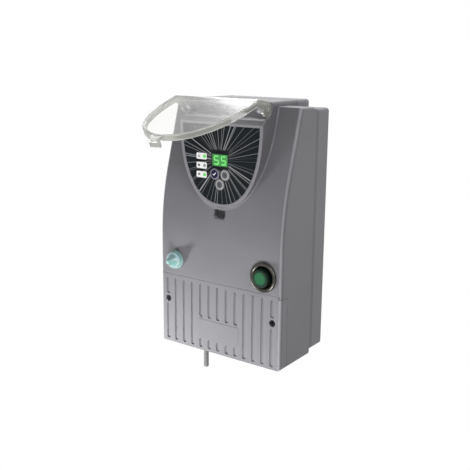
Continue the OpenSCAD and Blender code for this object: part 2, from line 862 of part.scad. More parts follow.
module button_cap() {
  base = cap_flange_y + 2;
  stem_end = stop_y[1];
  front = front_y - cap_proud;
  depth = stem_end - front;
  color("green") turned(button_x, stem_end, button_z) {
    flange_low = stem_end - base;
    flange_top = stem_end - cap_flange_y - 0.05;
    edge = 1.2;
    translate([cap_r - edge, depth - edge]) circle(edge);
    polygon([[0, 0], [stem_r, 0], [stem_r, flange_low], [cap_flange_r, flange_low],
             [cap_flange_r, flange_top], [cap_r, flange_top], [cap_r, depth - edge],
             [cap_r - edge, depth - edge], [cap_r - edge, depth], [0, depth]]);
  }
}

// Return spring between the cap's flange and the bezel's stop ring
module button_spring() {
  front = cap_flange_y + 2;
  length = stop_y[0] - front - 2 * spring_wire;
  ring = 6;
  per_turn = 20;
  last = spring_turns * per_turn;
  points = [for (i = [0:last], k = [0:ring - 1])
    let (a = 360 * i / per_turn, rr = spring_r + spring_wire * cos(360 * k / ring))
    [button_x + rr * cos(a),
     front + spring_wire + length * i / last + spring_wire * sin(360 * k / ring),
     button_z + rr * sin(a)]];
  walls = [for (i = [0:last - 1], k = [0:ring - 1])
    let (a = i * ring + k, b = i * ring + (k + 1) % ring) [a, b, b + ring, a + ring]];
  color("silver") polyhedron(points, concat(
    [[for (k = [0:ring - 1]) ring - 1 - k]], walls, [[for (k = [0:ring - 1]) last * ring + k]]));
}

module button_switch() {
  color("black") {
    rod(button_x, button_z, barrel_r, barrel_back, barrel_back + 2);
    block([button_x - 6, barrel_back + 1, button_z - 6], [button_x + 6, barrel_back + 10, button_z + 6]);
    rod(button_x, button_z, 2, stop_y[1] + button_travel + 0.05, barrel_back + 1);
    for (z = [-3, 3]) block([button_x - 1, barrel_back + 9, button_z + z - 0.4],
                            [button_x + 1, barrel_back + 14, button_z + z + 0.4]);
  }
}

// ---- light sensor ----

module sensor_housing() {
  color("dimgray") turned(sensor_x, sensor_back, button_z) {
    seat = sensor_back - front_y;
    polygon([[4.5, 2], [4.5, seat + sensor_flange_t], [sensor_flange_r - 0.4, seat + sensor_flange_t],
             [sensor_flange_r, seat + sensor_flange_t - 0.4], [sensor_flange_r, seat],
             [sensor_barrel_r, seat], [sensor_barrel_r, 0], [0, 0], [0, 2]]);
  }
}

// Outline of the lens, radius and forward distance, moved inwards by g
function lens_line(g) =
  let (tip = lens_h - sensor_flange_t, nose = 2.6)
  concat([[lens_r - g, 0], [lens_r - g, 2.6]],
         [for (a = [0:15:75]) [lens_r - 1 + (1 - g * 0.5) * cos(a) - g * 0.5, 2.6 + (1.2 - g * 0.5) * sin(a)]],
         [[lens_r - 2.2 - g, 3.8 - g * 0.4]],
         [for (a = [15:15:90]) [(nose - g * 0.6) * cos(a), tip - nose + (nose - g) * sin(a)]]);

module sensor_lens() {
  color("paleturquoise") turned(sensor_x, front_y - sensor_flange_t, button_z)
    polygon(concat(lens_line(0), [for (i = [len(lens_line(lens_t)) - 1:-1:0]) lens_line(lens_t)[i]]));
}

module sensor_nut() {
  color("black") stand(front_y + wall, front_y + wall + 4) translate([sensor_x, button_z]) difference() {
    circle(r = sensor_nut_r, $fn = 6);
    circle(r = sensor_barrel_r + 0.05);
  }
}

module photocell() {
  color("firebrick") {
    rod(sensor_x, button_z, 2.5, front_y - 3.6, front_y - 1.8);
    for (sx = [-1, 1]) rod(sensor_x + sx * 1.2, button_z, 0.35, front_y - 2, sensor_back - 2.1);
    rod(sensor_x, button_z, 4.4, sensor_back - 3.4, sensor_back - 2);
  }
}

// ---- winch ----

module drive_plate() {
  color("silver") stand(plate_y, plate_y + plate_t) difference() {
    translate([plate_x, 0]) slab(plate_half_w, plate_z[0], plate_z[1], 5);
    translate([drum_x, drum_z]) circle(4 + fit);
    translate([idler_x, idler_z]) circle(idler_shaft_r + fit);
    translate([motor_x, motor_z]) circle(5.1);
    for (sx = [-1, 1]) translate([motor_x + sx * motor_screw_off, motor_z]) circle(1.7);
    for (p = plate_posts) translate(p) circle(1.7);
  }
}

module plate_screws() {
  color("silver") for (p = plate_posts) screw(p[0], p[1], plate_y, 2.8, 2, pilot_r, 12);
}

module gear_motor() {
  color("silver") difference() {
    union() {
      rod(motor_x, motor_z, 5, plate_y - 1, plate_y + plate_t - 0.3);
      rod(motor_x, motor_z, 13.5, plate_y - 16, plate_y);
      rod(motor_x, motor_z, 12, plate_y - 38, plate_y - 15);
      rod(motor_x, motor_z, 4, plate_y - 40, plate_y - 37);
    }
    rod(motor_x, motor_z, motor_shaft_r + free_fit, plate_y - 8, plate_y + plate_t);
    for (sx = [-1, 1]) rod(motor_x + sx * motor_screw_off, motor_z, 1.5 + fit, plate_y - 6, plate_y + 1);
  }
}

module motor_screws() {
  color("silver") for (sx = [-1, 1])
    screw(motor_x + sx * motor_screw_off, motor_z, plate_y + plate_t, 2.6, 1.5, 1.5, 7, forward = true);
}

module motor_pinion() {
  color("gold") {
    stand(motor_pinion_y[0], motor_pinion_y[1]) translate([motor_x, motor_z])
      gear_outline(pinion_teeth, motor_turn + 180 + 180 / pinion_teeth);
    rod(motor_x, motor_z, motor_shaft_r, plate_y - 7.5, motor_pinion_y[1] + 1);
  }
}

module idler_shaft() {
  color("silver") {
    rod(idler_x, idler_z, idler_shaft_r, plate_y - 0.5, -4);
    rod(idler_x, idler_z, 3.5, plate_y - 1.5, plate_y);
  }
}

module idler_gear() {
  color("white") difference() {
    union() {
      stand(idler_gear_y[0], idler_gear_y[1]) translate([idler_x, idler_z])
        gear_outline(idler_teeth, motor_turn);
      stand(idler_pinion_y[0] - embed, idler_pinion_y[1]) translate([idler_x, idler_z])
        gear_outline(pinion_teeth, idler_turn + 180 + 180 / pinion_teeth);
      rod(idler_x, idler_z, 3.4, -26.3, -8.6);
    }
    rod(idler_x, idler_z, idler_shaft_r + free_fit, -28, -8);
  }
}

module drum_bush_front() {
  color("gold") difference() {
    union() {
      rod(drum_x, drum_z, 5.5, plate_y - 1.2, plate_y);
      rod(drum_x, drum_z, 4, plate_y - 1, plate_y + plate_t + 0.5);
    }
    rod(drum_x, drum_z, drum_shaft_r + free_fit, plate_y - 2, plate_y + plate_t + 1);
  }
}

module drum_bush_rear() {
  color("gold") difference() {
    union() {
      rod(drum_x, drum_z, 5.5, -11, -10);
      rod(drum_x, drum_z, 4, -10.5, -3.4);
    }
    rod(drum_x, drum_z, drum_shaft_r + free_fit, -12, -3);
  }
}

module drum_shaft() {
  color("silver") rod(drum_x, drum_z, drum_shaft_r, -52, -3.8);
}

module drum_gear() {
  color("white") difference() {
    union() {
      stand(drum_gear_y[0], drum_gear_y[1]) translate([drum_x, drum_z])
        gear_outline(drum_teeth, idler_turn);
      rod(drum_x, drum_z, 6, -20.5, -11.4);
    }
    rod(drum_x, drum_z, drum_shaft_r + fit, -21, -11);
  }
}

module cord_drum() {
  half = drum_gap_w / 2;
  color("white") difference() {
    turned(drum_x, drum_y, drum_z) polygon([
      [0, -half - drum_flange_t], [drum_flange_r, -half - drum_flange_t], [drum_flange_r, -half],
      [drum_core_r, -half], [drum_core_r, half], [drum_flange_r, half],
      [drum_flange_r, half + drum_flange_t], [0, half + drum_flange_t]]);
    rod(drum_x, drum_z, drum_shaft_r + fit, drum_y - 12, drum_y + 12);
  }
}

module cord_winding() {
  color("gray") turned(drum_x, drum_y, drum_z) for (i = [-1:1])
    translate([drum_core_r + cord_r + 0.01, i * (cord_d + 0.02)]) circle(cord_r);
}

module shaft_clips() {
  half = drum_gap_w / 2 + drum_flange_t;
  color("silver") for (y = [drum_y - half - 1, -22])
    difference() {
      rod(drum_x, drum_z, 5, y, y + 1);
      rod(drum_x, drum_z, drum_shaft_r + fit, y - 1, y + 2);
    }
}

// ---- wiring and cord ----

// Leads from the battery well up to the board
module lead(x, y, low, high, r) {
  translate([x, y, low]) cylinder(r = r, h = high - low);
}

module wiring() {
  color("firebrick") {
    for (x = [0.5, 3.5]) lead(x, lead_y, cover_z - 3.5, socket_z, 0.8);
    block([-2, board_y + board_t + socket_t, socket_z - 0.5], [6, lead_y + 2.5, socket_z + 5]);
  }
}

module cord_guide() {
  color("gray") translate([cord_x, drum_y, 0]) difference() {
    union() {
      translate([0, 0, floor_z - guide_lip]) cylinder(r1 = 4.4, r2 = 5.4, h = guide_lip);
      translate([0, 0, floor_z - embed]) cylinder(r = 4.4, h = 6 + embed);
      translate([0, 0, floor_z + wall]) cylinder(r = 5.4, h = 1.6);
    }
    translate([0, 0, floor_z - 4]) cylinder(r = cord_r + 0.2, h = 14);
  }
}

module cord_run() { color("gray") cord_tube(cord_run_route, cord_r, 10); }
module cord_tail() { color("gray") cord_tube(cord_tail_route, cord_r, 10); }

// ---- clear lid, drawn closed and then swung open about its pins ----

module lid_closed() {
  difference() {
    union() {
      intersection() {
        stand(lid_y - 1, hinge_y + 8) u_shape(turret_half_w - lid_half_w, 125);
        across(-case_x, case_x) polygon([
          [lid_y, 10], [lid_y, lid_bend_z], lid_end, [hinge_y, hinge_z + ear_r], [hinge_y, hinge_z],
          lid_arm, [lid_rim_y, 101.8], [lid_rim_y, 10]]);
      }
      both_sides() hinge_rod(ear_r, ear_in, lid_half_w);
      block([-tab_w / 2, lid_y, tab_z], [tab_w / 2, lid_y + tab_t, turret_tip_z + 2]);
      block([-tab_w / 2, lid_y + 1, hook_z[0]], [tab_w / 2, hook_end_y, hook_z[1]]);
    }
    intersection() {
      stand(lid_panel_in, hinge_y + 12) u_shape(turret_half_w - ear_in, 130);
      across(-case_x, case_x) polygon([
        [lid_panel_in, 10], [lid_panel_in, lid_bend_in_z], lid_end_in, lid_end, [lid_inner_end, 130],
        [hinge_y + 12, 130], [hinge_y + 12, 10]]);
    }
    both_sides() hinge_rod(pin_r + 0.05, ear_in - 1, lid_half_w + 1);
  }
}

module clear_lid() {
  color("whitesmoke", 0.4) translate([0, hinge_y, hinge_z]) rotate([-lid_open, 0, 0])
    translate([0, -hinge_y, -hinge_z]) lid_closed();
}

module hinge_pins() {
  color("silver") both_sides() hinge_rod(pin_r, pin_in, pin_out);
}

rear_shell();
front_shell();
case_seal();
case_screws();
battery_cover();
cover_seal();
cover_screws();
keypad_label();
hinge_pins();
clear_lid();
display_module();
status_lights();
key_switches();
key_confirm();
key_forward();
key_back();
control_board();
board_screws();
board_components();
button_bezel();
button_nut();
button_cap();
button_spring();
button_switch();
sensor_housing();
sensor_lens();
sensor_nut();
photocell();
drive_plate();
plate_screws();
gear_motor();
motor_screws();
motor_pinion();
idler_shaft();
idler_gear();
drum_bush_front();
drum_bush_rear();
drum_shaft();
drum_gear();
cord_drum();
cord_winding();
shaft_clips();
battery_holder();
batteries();
battery_contacts();
wiring();
cord_guide();
cord_run();
cord_tail();
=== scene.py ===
# %% [markdown]
# # An automatic poultry-house door opener
# A winch box for a wall: a grey case, a U-shaped control panel under a clear flip-up lid, a light
# sensor, a push button and a ribbed battery cover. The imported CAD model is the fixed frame, and
# everything here dresses it: finishes for the CAD parts, and finer pieces where the eye looks.
# Lengths are in metres, the wall is the plane Y = 0, the front faces -Y and Z is up.

# %% Load the frame
import math
from functools import partial

import bmesh
import bpy
from mathutils import Matrix, Vector


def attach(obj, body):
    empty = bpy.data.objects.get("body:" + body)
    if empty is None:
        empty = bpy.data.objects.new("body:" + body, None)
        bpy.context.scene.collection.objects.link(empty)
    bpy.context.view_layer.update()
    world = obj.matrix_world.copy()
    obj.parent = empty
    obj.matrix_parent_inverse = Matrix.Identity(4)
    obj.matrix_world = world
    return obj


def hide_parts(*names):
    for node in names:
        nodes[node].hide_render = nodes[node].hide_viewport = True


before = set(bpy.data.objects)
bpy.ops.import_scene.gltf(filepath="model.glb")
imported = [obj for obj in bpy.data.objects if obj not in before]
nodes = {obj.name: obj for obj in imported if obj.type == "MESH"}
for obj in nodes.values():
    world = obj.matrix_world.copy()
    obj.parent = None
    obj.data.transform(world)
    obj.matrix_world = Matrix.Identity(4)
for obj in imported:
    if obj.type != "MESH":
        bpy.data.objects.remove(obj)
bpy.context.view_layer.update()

MM = 0.001
print("CAD nodes:", len(nodes))

# %% [markdown]
# ## The camera
# The viewer stands to the right of the box and a little above it. A lens is set by its focal
# length and the sensor's width, and the picture is square. The turn is written as three steps:
# turn about the upright axis, tip the view down, then roll the camera a trace about its own axis.

# %% Camera
VIEW_TURN, VIEW_DOWN, VIEW_ROLL = math.radians(35.486), math.radians(13.644), math.radians(0.5)
VIEW_FROM = (0.3967, -0.6080, 0.1609)
LENS, SENSOR_WIDTH = 57.41, 36
camera = bpy.data.objects.new("camera", bpy.data.cameras.new("camera"))
bpy.context.scene.collection.objects.link(camera)
bpy.context.scene.camera = camera
camera.data.sensor_width, camera.data.lens = SENSOR_WIDTH, LENS
turn = (Matrix.Rotation(VIEW_TURN, 4, "Z") @ Matrix.Rotation(math.pi / 2 - VIEW_DOWN, 4, "X")
        @ Matrix.Rotation(VIEW_ROLL, 4, "Z"))
camera.matrix_world = Matrix.Translation(VIEW_FROM) @ turn
print("camera at", [round(v, 3) for v in camera.location], "lens", camera.data.lens, "mm")

# %% [markdown]
# ## Small tools for modelling
# Blender's operators act on whatever is selected, so each piece starts with nothing selected.

# %% Tools that start and finish a piece
def deselect():
    for thing in bpy.context.selected_objects:
        thing.select_set(False)


def pick(piece):
    deselect()
    piece.select_set(True)
    bpy.context.view_layer.objects.active = piece


def added(name):
    """The primitive that was just added, under its own name."""
    piece = bpy.context.view_layer.objects.active
    piece.name = piece.data.name = name
    return piece


def seat(piece):
    """Puts a piece's place into its mesh, so that its object sits at the origin."""
    pick(piece)
    bpy.ops.object.transform_apply(location=True, rotation=True, scale=True)
    return piece


def face_outwards(piece):
    pick(piece)
    bpy.ops.object.mode_set(mode="EDIT")
    bpy.ops.mesh.select_all(action="SELECT")
    bpy.ops.mesh.remove_doubles(threshold=1e-6)
    bpy.ops.mesh.normals_make_consistent(inside=False)
    bpy.ops.object.mode_set(mode="OBJECT")


def paint(piece, *finishes):
    piece.data.materials.clear()
    for one in finishes:
        piece.data.materials.append(one)


def ride(piece, body, slot, *finishes):
    if finishes:
        paint(piece, *finishes)
    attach(piece, body)
    print(piece.name, "rides on", body, "with", len(piece.data.polygons), "faces")

# %% [markdown]
# ## Small tools for finishes
# Each finish is a small network of nodes. Patterns read Object coordinates, which are metres in
# the part's own frame, so the same grain has the same real size on every piece.

# %% Tools that build a network of nodes
def finish(name, color, rough, **sockets):
    """A new material with its one shader's plain values set."""
    made = bpy.data.materials.new(name)
    made.use_nodes = True
    shader = made.node_tree.nodes["Principled BSDF"]
    shader.inputs["Base Color"].default_value = (*color, 1)
    shader.inputs["Roughness"].default_value = rough
    for socket, value in sockets.items():
        shader.inputs[socket.replace("_", " ")].default_value = value
    print("finish", name, "with roughness", rough)
    return made


def add_node(made, kind, **values):
    """A new node; each value is one of its settings or the plain value of one of its inputs."""
    node = made.node_tree.nodes.new("ShaderNode" + kind)
    for key, value in values.items():
        if hasattr(node, key):
            setattr(node, key, value)
        else:
            node.inputs[key.replace("_", " ")].default_value = value
    return node


def join(made, start, end):
    made.node_tree.links.new(start, end)


def shader_input(made, socket):
    return made.node_tree.nodes["Principled BSDF"].inputs[socket]


def feed(made, socket, output):
    """Lets a pattern drive one of the shader's inputs."""
    join(made, output, shader_input(made, socket))


def math_node(made, operation, *values):
    """One sum; each value is a number or another node's output."""
    node = add_node(made, "Math", operation=operation)
    for socket, value in zip(node.inputs, values):
        if isinstance(value, bpy.types.NodeSocket):
            join(made, value, socket)
        else:
            socket.default_value = value
    return node.outputs["Value"]


def split_axes(made, output):
    """X, Y and Z of a point on the surface (Object) or of the way it faces (Normal)."""
    place = add_node(made, "TexCoord")
    split = add_node(made, "SeparateXYZ")
    join(made, place.outputs[output], split.inputs["Vector"])
    return split.outputs


# %% Tools for colour and grain
def shade(color, factor):
    return tuple(min(1, c * factor) for c in color)


def noise(made, scale, detail=3, rough=0.5):
    """Noise in the part's own frame; scale is features per metre."""
    place = add_node(made, "TexCoord")
    grain = add_node(made, "TexNoise", Scale=scale, Detail=detail, Roughness=rough)
    join(made, place.outputs["Object"], grain.inputs["Vector"])
    return grain.outputs["Fac"]


def ramp(made, factor, stops):
    """Turns a factor into a colour; each stop is a place from 0 to 1 and its colour."""
    node = add_node(made, "ValToRGB")
    while len(node.color_ramp.elements) < len(stops):
        node.color_ramp.elements.new(0.5)
    for element, (place, color) in zip(node.color_ramp.elements, stops):
        element.position = place
        element.color = (*color, 1)
    join(made, factor, node.inputs["Fac"])
    return node.outputs["Color"]


def wander(made, factor, low, high):
    """A colour between low and high; noise seldom leaves the middle of its range."""
    return ramp(made, factor, [(0.3, low), (0.7, high)])


def lay_over(made, mask, base, color, **how):
    """Covers a base colour with another one where mask is 1."""
    layer = add_node(made, "Mix", data_type="RGBA", **how)
    join(made, mask, layer.inputs["Factor"])
    join(made, base, layer.inputs["A"])
    layer.inputs["B"].default_value = (*color, 1)
    return layer.outputs["Result"]


def retone(made, mask, factor):
    """Multiplies a finish's own base colour by factor where mask is 1."""
    before = shader_input(made, "Base Color").links[0].from_socket
    feed(made, "Base Color", lay_over(made, mask, before, (factor,) * 3, blend_type="MULTIPLY"))
    print(made.name, "is multiplied by", factor, "in places")


def roughen(made, height, strength, depth, under=None):
    """A shallow bump from a pattern's height, on top of the normal under it."""
    bump = add_node(made, "Bump", Strength=strength, Distance=depth)
    join(made, height, bump.inputs["Height"])
    if under:
        join(made, under, bump.inputs["Normal"])
    feed(made, "Normal", bump.outputs["Normal"])

# %% [markdown]
# ## Moulded plastic
# The case is injection moulded with a fine spark texture: tiny, even pits under a millimetre
# wide, which make it matt. Its colour isn't perfectly even either, and its edges are rounded by
# the mould. Noise drives a shallow bump and a faint tone change, and a Bevel node finds the edges:
# where the rounded normal leaves the true one; there the colour is painted paler, a painted
# highlight. Hands also polish what sticks out, so the roughness falls where the surface turns off
# a flat side.

# %% Polished corners
def polish(made, rough):
    """Roughness that falls where the surface turns from one flat side to the next."""
    facing = split_axes(made, "Normal")
    flattest = 0.0
    for axis in "XYZ":
        flattest = math_node(made, "MAXIMUM", math_node(made, "ABSOLUTE", facing[axis]), flattest)
    rubbed = add_node(made, "MapRange", From_Min=0.8, From_Max=0.94,
                      To_Min=rough * 0.45, To_Max=rough)
    join(made, flattest, rubbed.inputs["Value"])
    return rubbed.outputs["Result"]


# %% Moulded plastic
def moulded(name, color, rough, grain=900, depth=0.04 * MM, edge=1.35):
    """Grain is pits per metre, depth is theirs, and edge is how much paler the painted edge
    highlight is.
    """
    made = finish(name, color, rough, Specular_IOR_Level=0.25)
    soft = add_node(made, "Bevel", samples=4, Radius=0.9 * MM)
    true = add_node(made, "NewGeometry")
    match = add_node(made, "VectorMath", operation="DOT_PRODUCT")
    join(made, soft.outputs["Normal"], match.inputs[0])
    join(made, true.outputs["Normal"], match.inputs[1])
    # The edges are painted paler: a painted highlight along every rounded edge.
    edge_highlight = ramp(made, match.outputs["Value"], [(0.8, (1, 1, 1)), (0.985, (0, 0, 0))])
    tone = wander(made, noise(made, 26), shade(color, 0.96), shade(color, 1.04))
    feed(made, "Base Color", lay_over(made, edge_highlight, tone, shade(color, edge)))
    roughen(made, noise(made, grain, detail=4, rough=0.6), 0.5, depth, soft.outputs["Normal"])
    feed(made, "Roughness", polish(made, rough))
    return made


GREY = (0.165, 0.162, 0.175)
case_grey = moulded("case_grey", GREY, 0.46)
rear_grey = moulded("rear_grey", shade(GREY, 1.08), 0.46)
cover_grey = moulded("cover_grey", shade(GREY, 1.06), 0.46)
rim_grey = moulded("rim_grey", shade(GREY, 1.3), 0.35, depth=0.02 * MM)
print("case grey:", GREY)

# %% [markdown]
# The two halves of the case meet in a seam. The rear half stands a little back there, so its front
# edge lies in the front half's shade: a darker band, which the finish places by depth.

# %% Shaded band behind the seam
BAND_START, BAND_FULL = -16.8 * MM, -18.8 * MM
behind_seam = add_node(rear_grey, "MapRange", From_Min=BAND_START, From_Max=BAND_FULL)
join(rear_grey, split_axes(rear_grey, "Object")["Y"], behind_seam.inputs["Value"])
retone(rear_grey, behind_seam.outputs["Result"], 0.72)
print("shaded band starts", round(-BAND_START / MM, 1), "mm from the wall")

# %% [markdown]
# ## The cord's end
# A short stub of the lifting cord hangs out of the floor of the case. It is stiff and short, so
# it hangs straight: a ring of points is swept down its line, and its end is rounded off.

# %% Cord end
CORD_X, CORD_Y, CORD_TOP, CORD_END, CORD_R = -0.043, -0.040, -0.118, -0.1524, 0.0025
CORD_LENGTH = CORD_TOP - CORD_END
ROUND_END = ((0.93, 0.2), (0.78, 0.12), (0.5, 0.08))    # each ring's shrink, and its drop in radii
STEPS = 34
straight = CORD_LENGTH - CORD_R * sum(drop for shrink, drop in ROUND_END)
deselect()
bpy.ops.mesh.primitive_circle_add(vertices=28, radius=CORD_R, fill_type="NGON",
                                  location=(CORD_X, CORD_Y, CORD_TOP))
cord = added("cord_end")
bpy.ops.object.mode_set(mode="EDIT")
for step in range(STEPS):
    bpy.ops.mesh.extrude_region_move(TRANSFORM_OT_translate={"value": (0, 0, -straight / STEPS)})
for shrink, drop in ROUND_END:
    bpy.ops.mesh.extrude_region_move(TRANSFORM_OT_translate={"value": (0, 0, -CORD_R * drop)})
    bpy.ops.transform.resize(value=(shrink, shrink, 1))
bpy.ops.object.mode_set(mode="OBJECT")
face_outwards(seat(cord))
bpy.ops.object.shade_smooth_by_angle(angle=math.radians(50))


# %% Its woven sheath
def mapped(made, **how):
    """Object coordinates, turned or stretched before a pattern reads them."""
    place = add_node(made, "TexCoord")
    change = add_node(made, "Mapping", **how)
    join(made, place.outputs["Object"], change.inputs["Vector"])
    return change.outputs["Vector"]


sheath = finish("cord_sheath", (0.2, 0.2, 0.195), 0.75)
WEAVE_TURN = (0, math.radians(38), math.radians(30))
weave = add_node(sheath, "TexWave", Scale=420, Distortion=1.5, Detail=1)
join(sheath, mapped(sheath, Rotation=WEAVE_TURN), weave.inputs["Vector"])
feed(sheath, "Base Color",
     ramp(sheath, weave.outputs["Fac"], [(0.2, (0.13, 0.13, 0.125)), (0.8, (0.24, 0.24, 0.235))]))
roughen(sheath, weave.outputs["Fac"], 0.6, 0.15 * MM)

# %% The cord rides on the case
ride(cord, "case", "cord", sheath)
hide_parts("cord_tail")
print("cord hangs out by", round(CORD_LENGTH / MM, 1), "mm")

# %% [markdown]
# ## Rounding the moulded parts
# No moulded edge is sharp, and the thin bright lines along them are what make plastic look like
# plastic. The CAD shells have true corners, so a copy of each is merged into one surface, its flat
# triangles are dissolved back into faces, and a Bevel modifier rounds every crease by a fraction
# of a millimetre. The CAD node itself stays as it is, hidden behind the copy. Two places keep
# their sharp creases, because faces are too narrow there for a rounding to fit.

# %% A merged copy of a CAD part
def copy_of(node, name):
    """A merged copy of a CAD node, free to be worked on."""
    piece = bpy.data.objects.new(name, nodes[node].data.copy())
    piece.data.name = name
    bpy.context.scene.collection.objects.link(piece)
    pick(piece)
    bpy.ops.mesh.customdata_custom_splitnormals_clear()
    bpy.ops.object.mode_set(mode="EDIT")
    bpy.ops.mesh.select_all(action="SELECT")
    bpy.ops.mesh.remove_doubles(threshold=1e-6)
    bpy.ops.mesh.dissolve_limited(angle_limit=math.radians(0.5))
    bpy.ops.object.mode_set(mode="OBJECT")
    return piece


# %% Creases that are rounded, and those that stay sharp
SEAM_Y, SEAM_TOP = -26 * MM, 112.5 * MM
SLOPE_SHIFT, SLOPE_X = -177 * MM, 46 * MM     # the slope is the plane Y = Z + SLOPE_SHIFT
ROUNDED_FROM = math.radians(30)
SMALLEST_FACE = 2e-9


def kept_sharp(spot):
    """True on the top of the seam and on the slope in front of the hinge trough."""
    on_seam = abs(spot.y - SEAM_Y) < 0.01 * MM and spot.z > SEAM_TOP
    on_slope = abs(spot.y - spot.z - SLOPE_SHIFT) < 0.03 * MM and abs(spot.x) < SLOPE_X
    return on_seam or on_slope


def mark_creases(piece, shortest):
    """Gives a bevel weight to each crease between two real faces."""
    shape = bmesh.new()
    shape.from_mesh(piece.data)
    shape.edges.ensure_lookup_table()
    creased = [edge.index for edge in shape.edges
               if len(edge.link_faces) == 2 and edge.calc_length() > shortest
               and not all(kept_sharp(end.co) for end in edge.verts)
               and min(face.calc_area() for face in edge.link_faces) > SMALLEST_FACE
               and edge.calc_face_angle() > ROUNDED_FROM]
    shape.free()
    weights = piece.data.attributes.new("bevel_weight_edge", "FLOAT", "EDGE")
    for index in creased:
        weights.data[index].value = 1


# %% Rounding by a Bevel modifier
def round_edges(piece, width, segments=2, shortest=0.0):
    pick(piece)
    mark_creases(piece, shortest)
    rounding = piece.modifiers.new("rounding", "BEVEL")
    rounding.width, rounding.segments = width, segments
    rounding.limit_method = "WEIGHT"
    rounding.use_clamp_overlap, rounding.miter_outer = False, "MITER_SHARP"
    bpy.ops.object.modifier_apply(modifier="rounding")
    bpy.ops.object.shade_smooth_by_angle(angle=math.radians(35))
    even = piece.modifiers.new("even", "WEIGHTED_NORMAL")
    even.weight, even.keep_sharp = 90, True
    bpy.ops.object.modifier_apply(modifier="even")
    return piece


# %% Front shell
front = round_edges(copy_of("front_shell", "front_case"), 0.5 * MM)
paint(front, case_grey, rim_grey)

# %% [markdown]
# The shoulders lean back along a wide arc, and the mesh follows it in flat steps. Their shading
# shouldn't show the steps, so each corner on that surface gets the true normal of the arc, which
# depends on its height alone.

# %% True normals on the leaning front
# The front is upright at FRONT_Y up to LEAN_Z, and an arc of radius LEAN_R tips it back to LEAN.
LEAN, LEAN_Z, LEAN_R, FRONT_Y = math.radians(16.2), -10 * MM, 244 * MM, -78 * MM


def lean_at(z):
    return min(LEAN, math.asin(min(1, max(0, (z - LEAN_Z) / LEAN_R))))


def front_at(z):
    """Depth of the leaning front at height z."""
    angle = lean_at(z)
    straight = z - LEAN_Z - LEAN_R * math.sin(angle)
    return FRONT_Y + LEAN_R * (1 - math.cos(angle)) + max(0, straight) * math.tan(angle)


def lean_normal(z):
    return Vector((0, -math.cos(lean_at(z)), math.sin(lean_at(z))))


def leans(face):
    """True for a face that lies in the leaning front."""
    aligned = face.normal.dot(lean_normal(face.center.z)) > 0.999
    return aligned and abs(face.center.y - front_at(face.center.z)) < 0.6 * MM


corner_normals = [Vector(corner.vector) for corner in front.data.corner_normals]
leaning = set()
for face in front.data.polygons:
    if leans(face):
        leaning.add(face.index)
        for corner in face.loop_indices:
            height = front.data.vertices[front.data.loops[corner].vertex_index].co.z
            corner_normals[corner] = lean_normal(height)
front.data.normals_split_custom_set(corner_normals)
print("faces given the arc's normals:", len(leaning))

# %% Raised rim round the label
FACE_Y = -75.8 * MM
RIM_LOW, RIM_HIGH = 24 * MM, 103.5 * MM
rim_faces = [face for face in front.data.polygons
             if face.index not in leaning and face.normal.y < -0.6
             and RIM_LOW < face.center.z < RIM_HIGH
             and FACE_Y - 0.2 * MM < face.center.y < FACE_Y + 0.5 * MM]
for face in rim_faces:
    face.material_index = 1
print("faces of the raised rim:", len(rim_faces))
ride(front, "case", "case_plastic")
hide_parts("front_shell")

# %% Rear shell
rear = round_edges(copy_of("rear_shell", "rear_case"), 0.5 * MM, shortest=1.5 * MM)
print("rear case box in mm:",
      [round(c / MM, 1) for corner in (rear.bound_box[0], rear.bound_box[6]) for c in corner])
ride(rear, "case", "case_plastic", rear_grey)
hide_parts("rear_shell")

# %% Battery cover
cover = round_edges(copy_of("battery_cover", "ribbed_cover"), 0.3 * MM)
ride(cover, "case", "cover_plastic", cover_grey)
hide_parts("battery_cover")

# %% [markdown]
# ## Thin plates and marks
# Printed marks, windows and digits are made as very thin plates that stand a few hundredths of a
# millimetre proud of what carries them. Each starts as a plane that faces the front, gets rounded
# corners from a vertex bevel, and is extruded backwards to its thickness.

# %% A tool for thin plates
def plate(name, x, z, y, thick, radius, segments=5, spin=0):
    """A thin plate facing -Y; x and z give its middle and its size, y is its front."""
    deselect()
    bpy.ops.mesh.primitive_plane_add(size=1, location=(x[0], y, z[0]),
                                     rotation=(math.pi / 2, spin, 0))
    piece = added(name)
    piece.scale = (x[1], z[1], 1)
    seat(piece)
    bpy.ops.object.mode_set(mode="EDIT")
    bpy.ops.mesh.select_all(action="SELECT")
    bpy.ops.mesh.bevel(offset=radius, segments=segments, affect="VERTICES")
    bpy.ops.mesh.select_all(action="SELECT")
    bpy.ops.mesh.extrude_region_move(TRANSFORM_OT_translate={"value": (0, thick, 0)})
    bpy.ops.object.mode_set(mode="OBJECT")
    face_outwards(piece)
    return piece


def merged(name, parts):
    """Joins several pieces into one mesh."""
    deselect()
    for part in parts:
        part.select_set(True)
    bpy.context.view_layer.objects.active = parts[0]
    bpy.ops.object.join()
    parts[0].name = parts[0].data.name = name
    return parts[0]


# %% Blank plate on the battery cover
BLANK_W, BLANK_H, BLANK_Z = 47 * MM, 18.2 * MM, -93.5 * MM
blank = plate("blank_plate", (0, BLANK_W), (BLANK_Z, BLANK_H), -78.12 * MM, 0.3 * MM, 1 * MM)
round_edges(blank, 0.06 * MM, 1)
ride(blank, "case", "cover_plastic", cover_grey)

# %% [markdown]
# ## Two small fillings
# The battery cover has a lip behind the gap above it, so the gap isn't seen to go in deep. The
# recess for the lid's catch has round lower corners, while the shell's opening is square: each
# corner is filled by a block with a round hole cut through it, and the block's front follows the
# arc of the case.

# %% Lip in the gap above the battery cover
LIP_W, LIP_H, LIP_Z = 132 * MM, 0.9 * MM, -45.9 * MM
lip = plate("cover_lip", (0, LIP_W), (LIP_Z, LIP_H), -77.8 * MM, 2.5 * MM, 0.2 * MM)
ride(lip, "case", "cover_plastic", cover_grey)

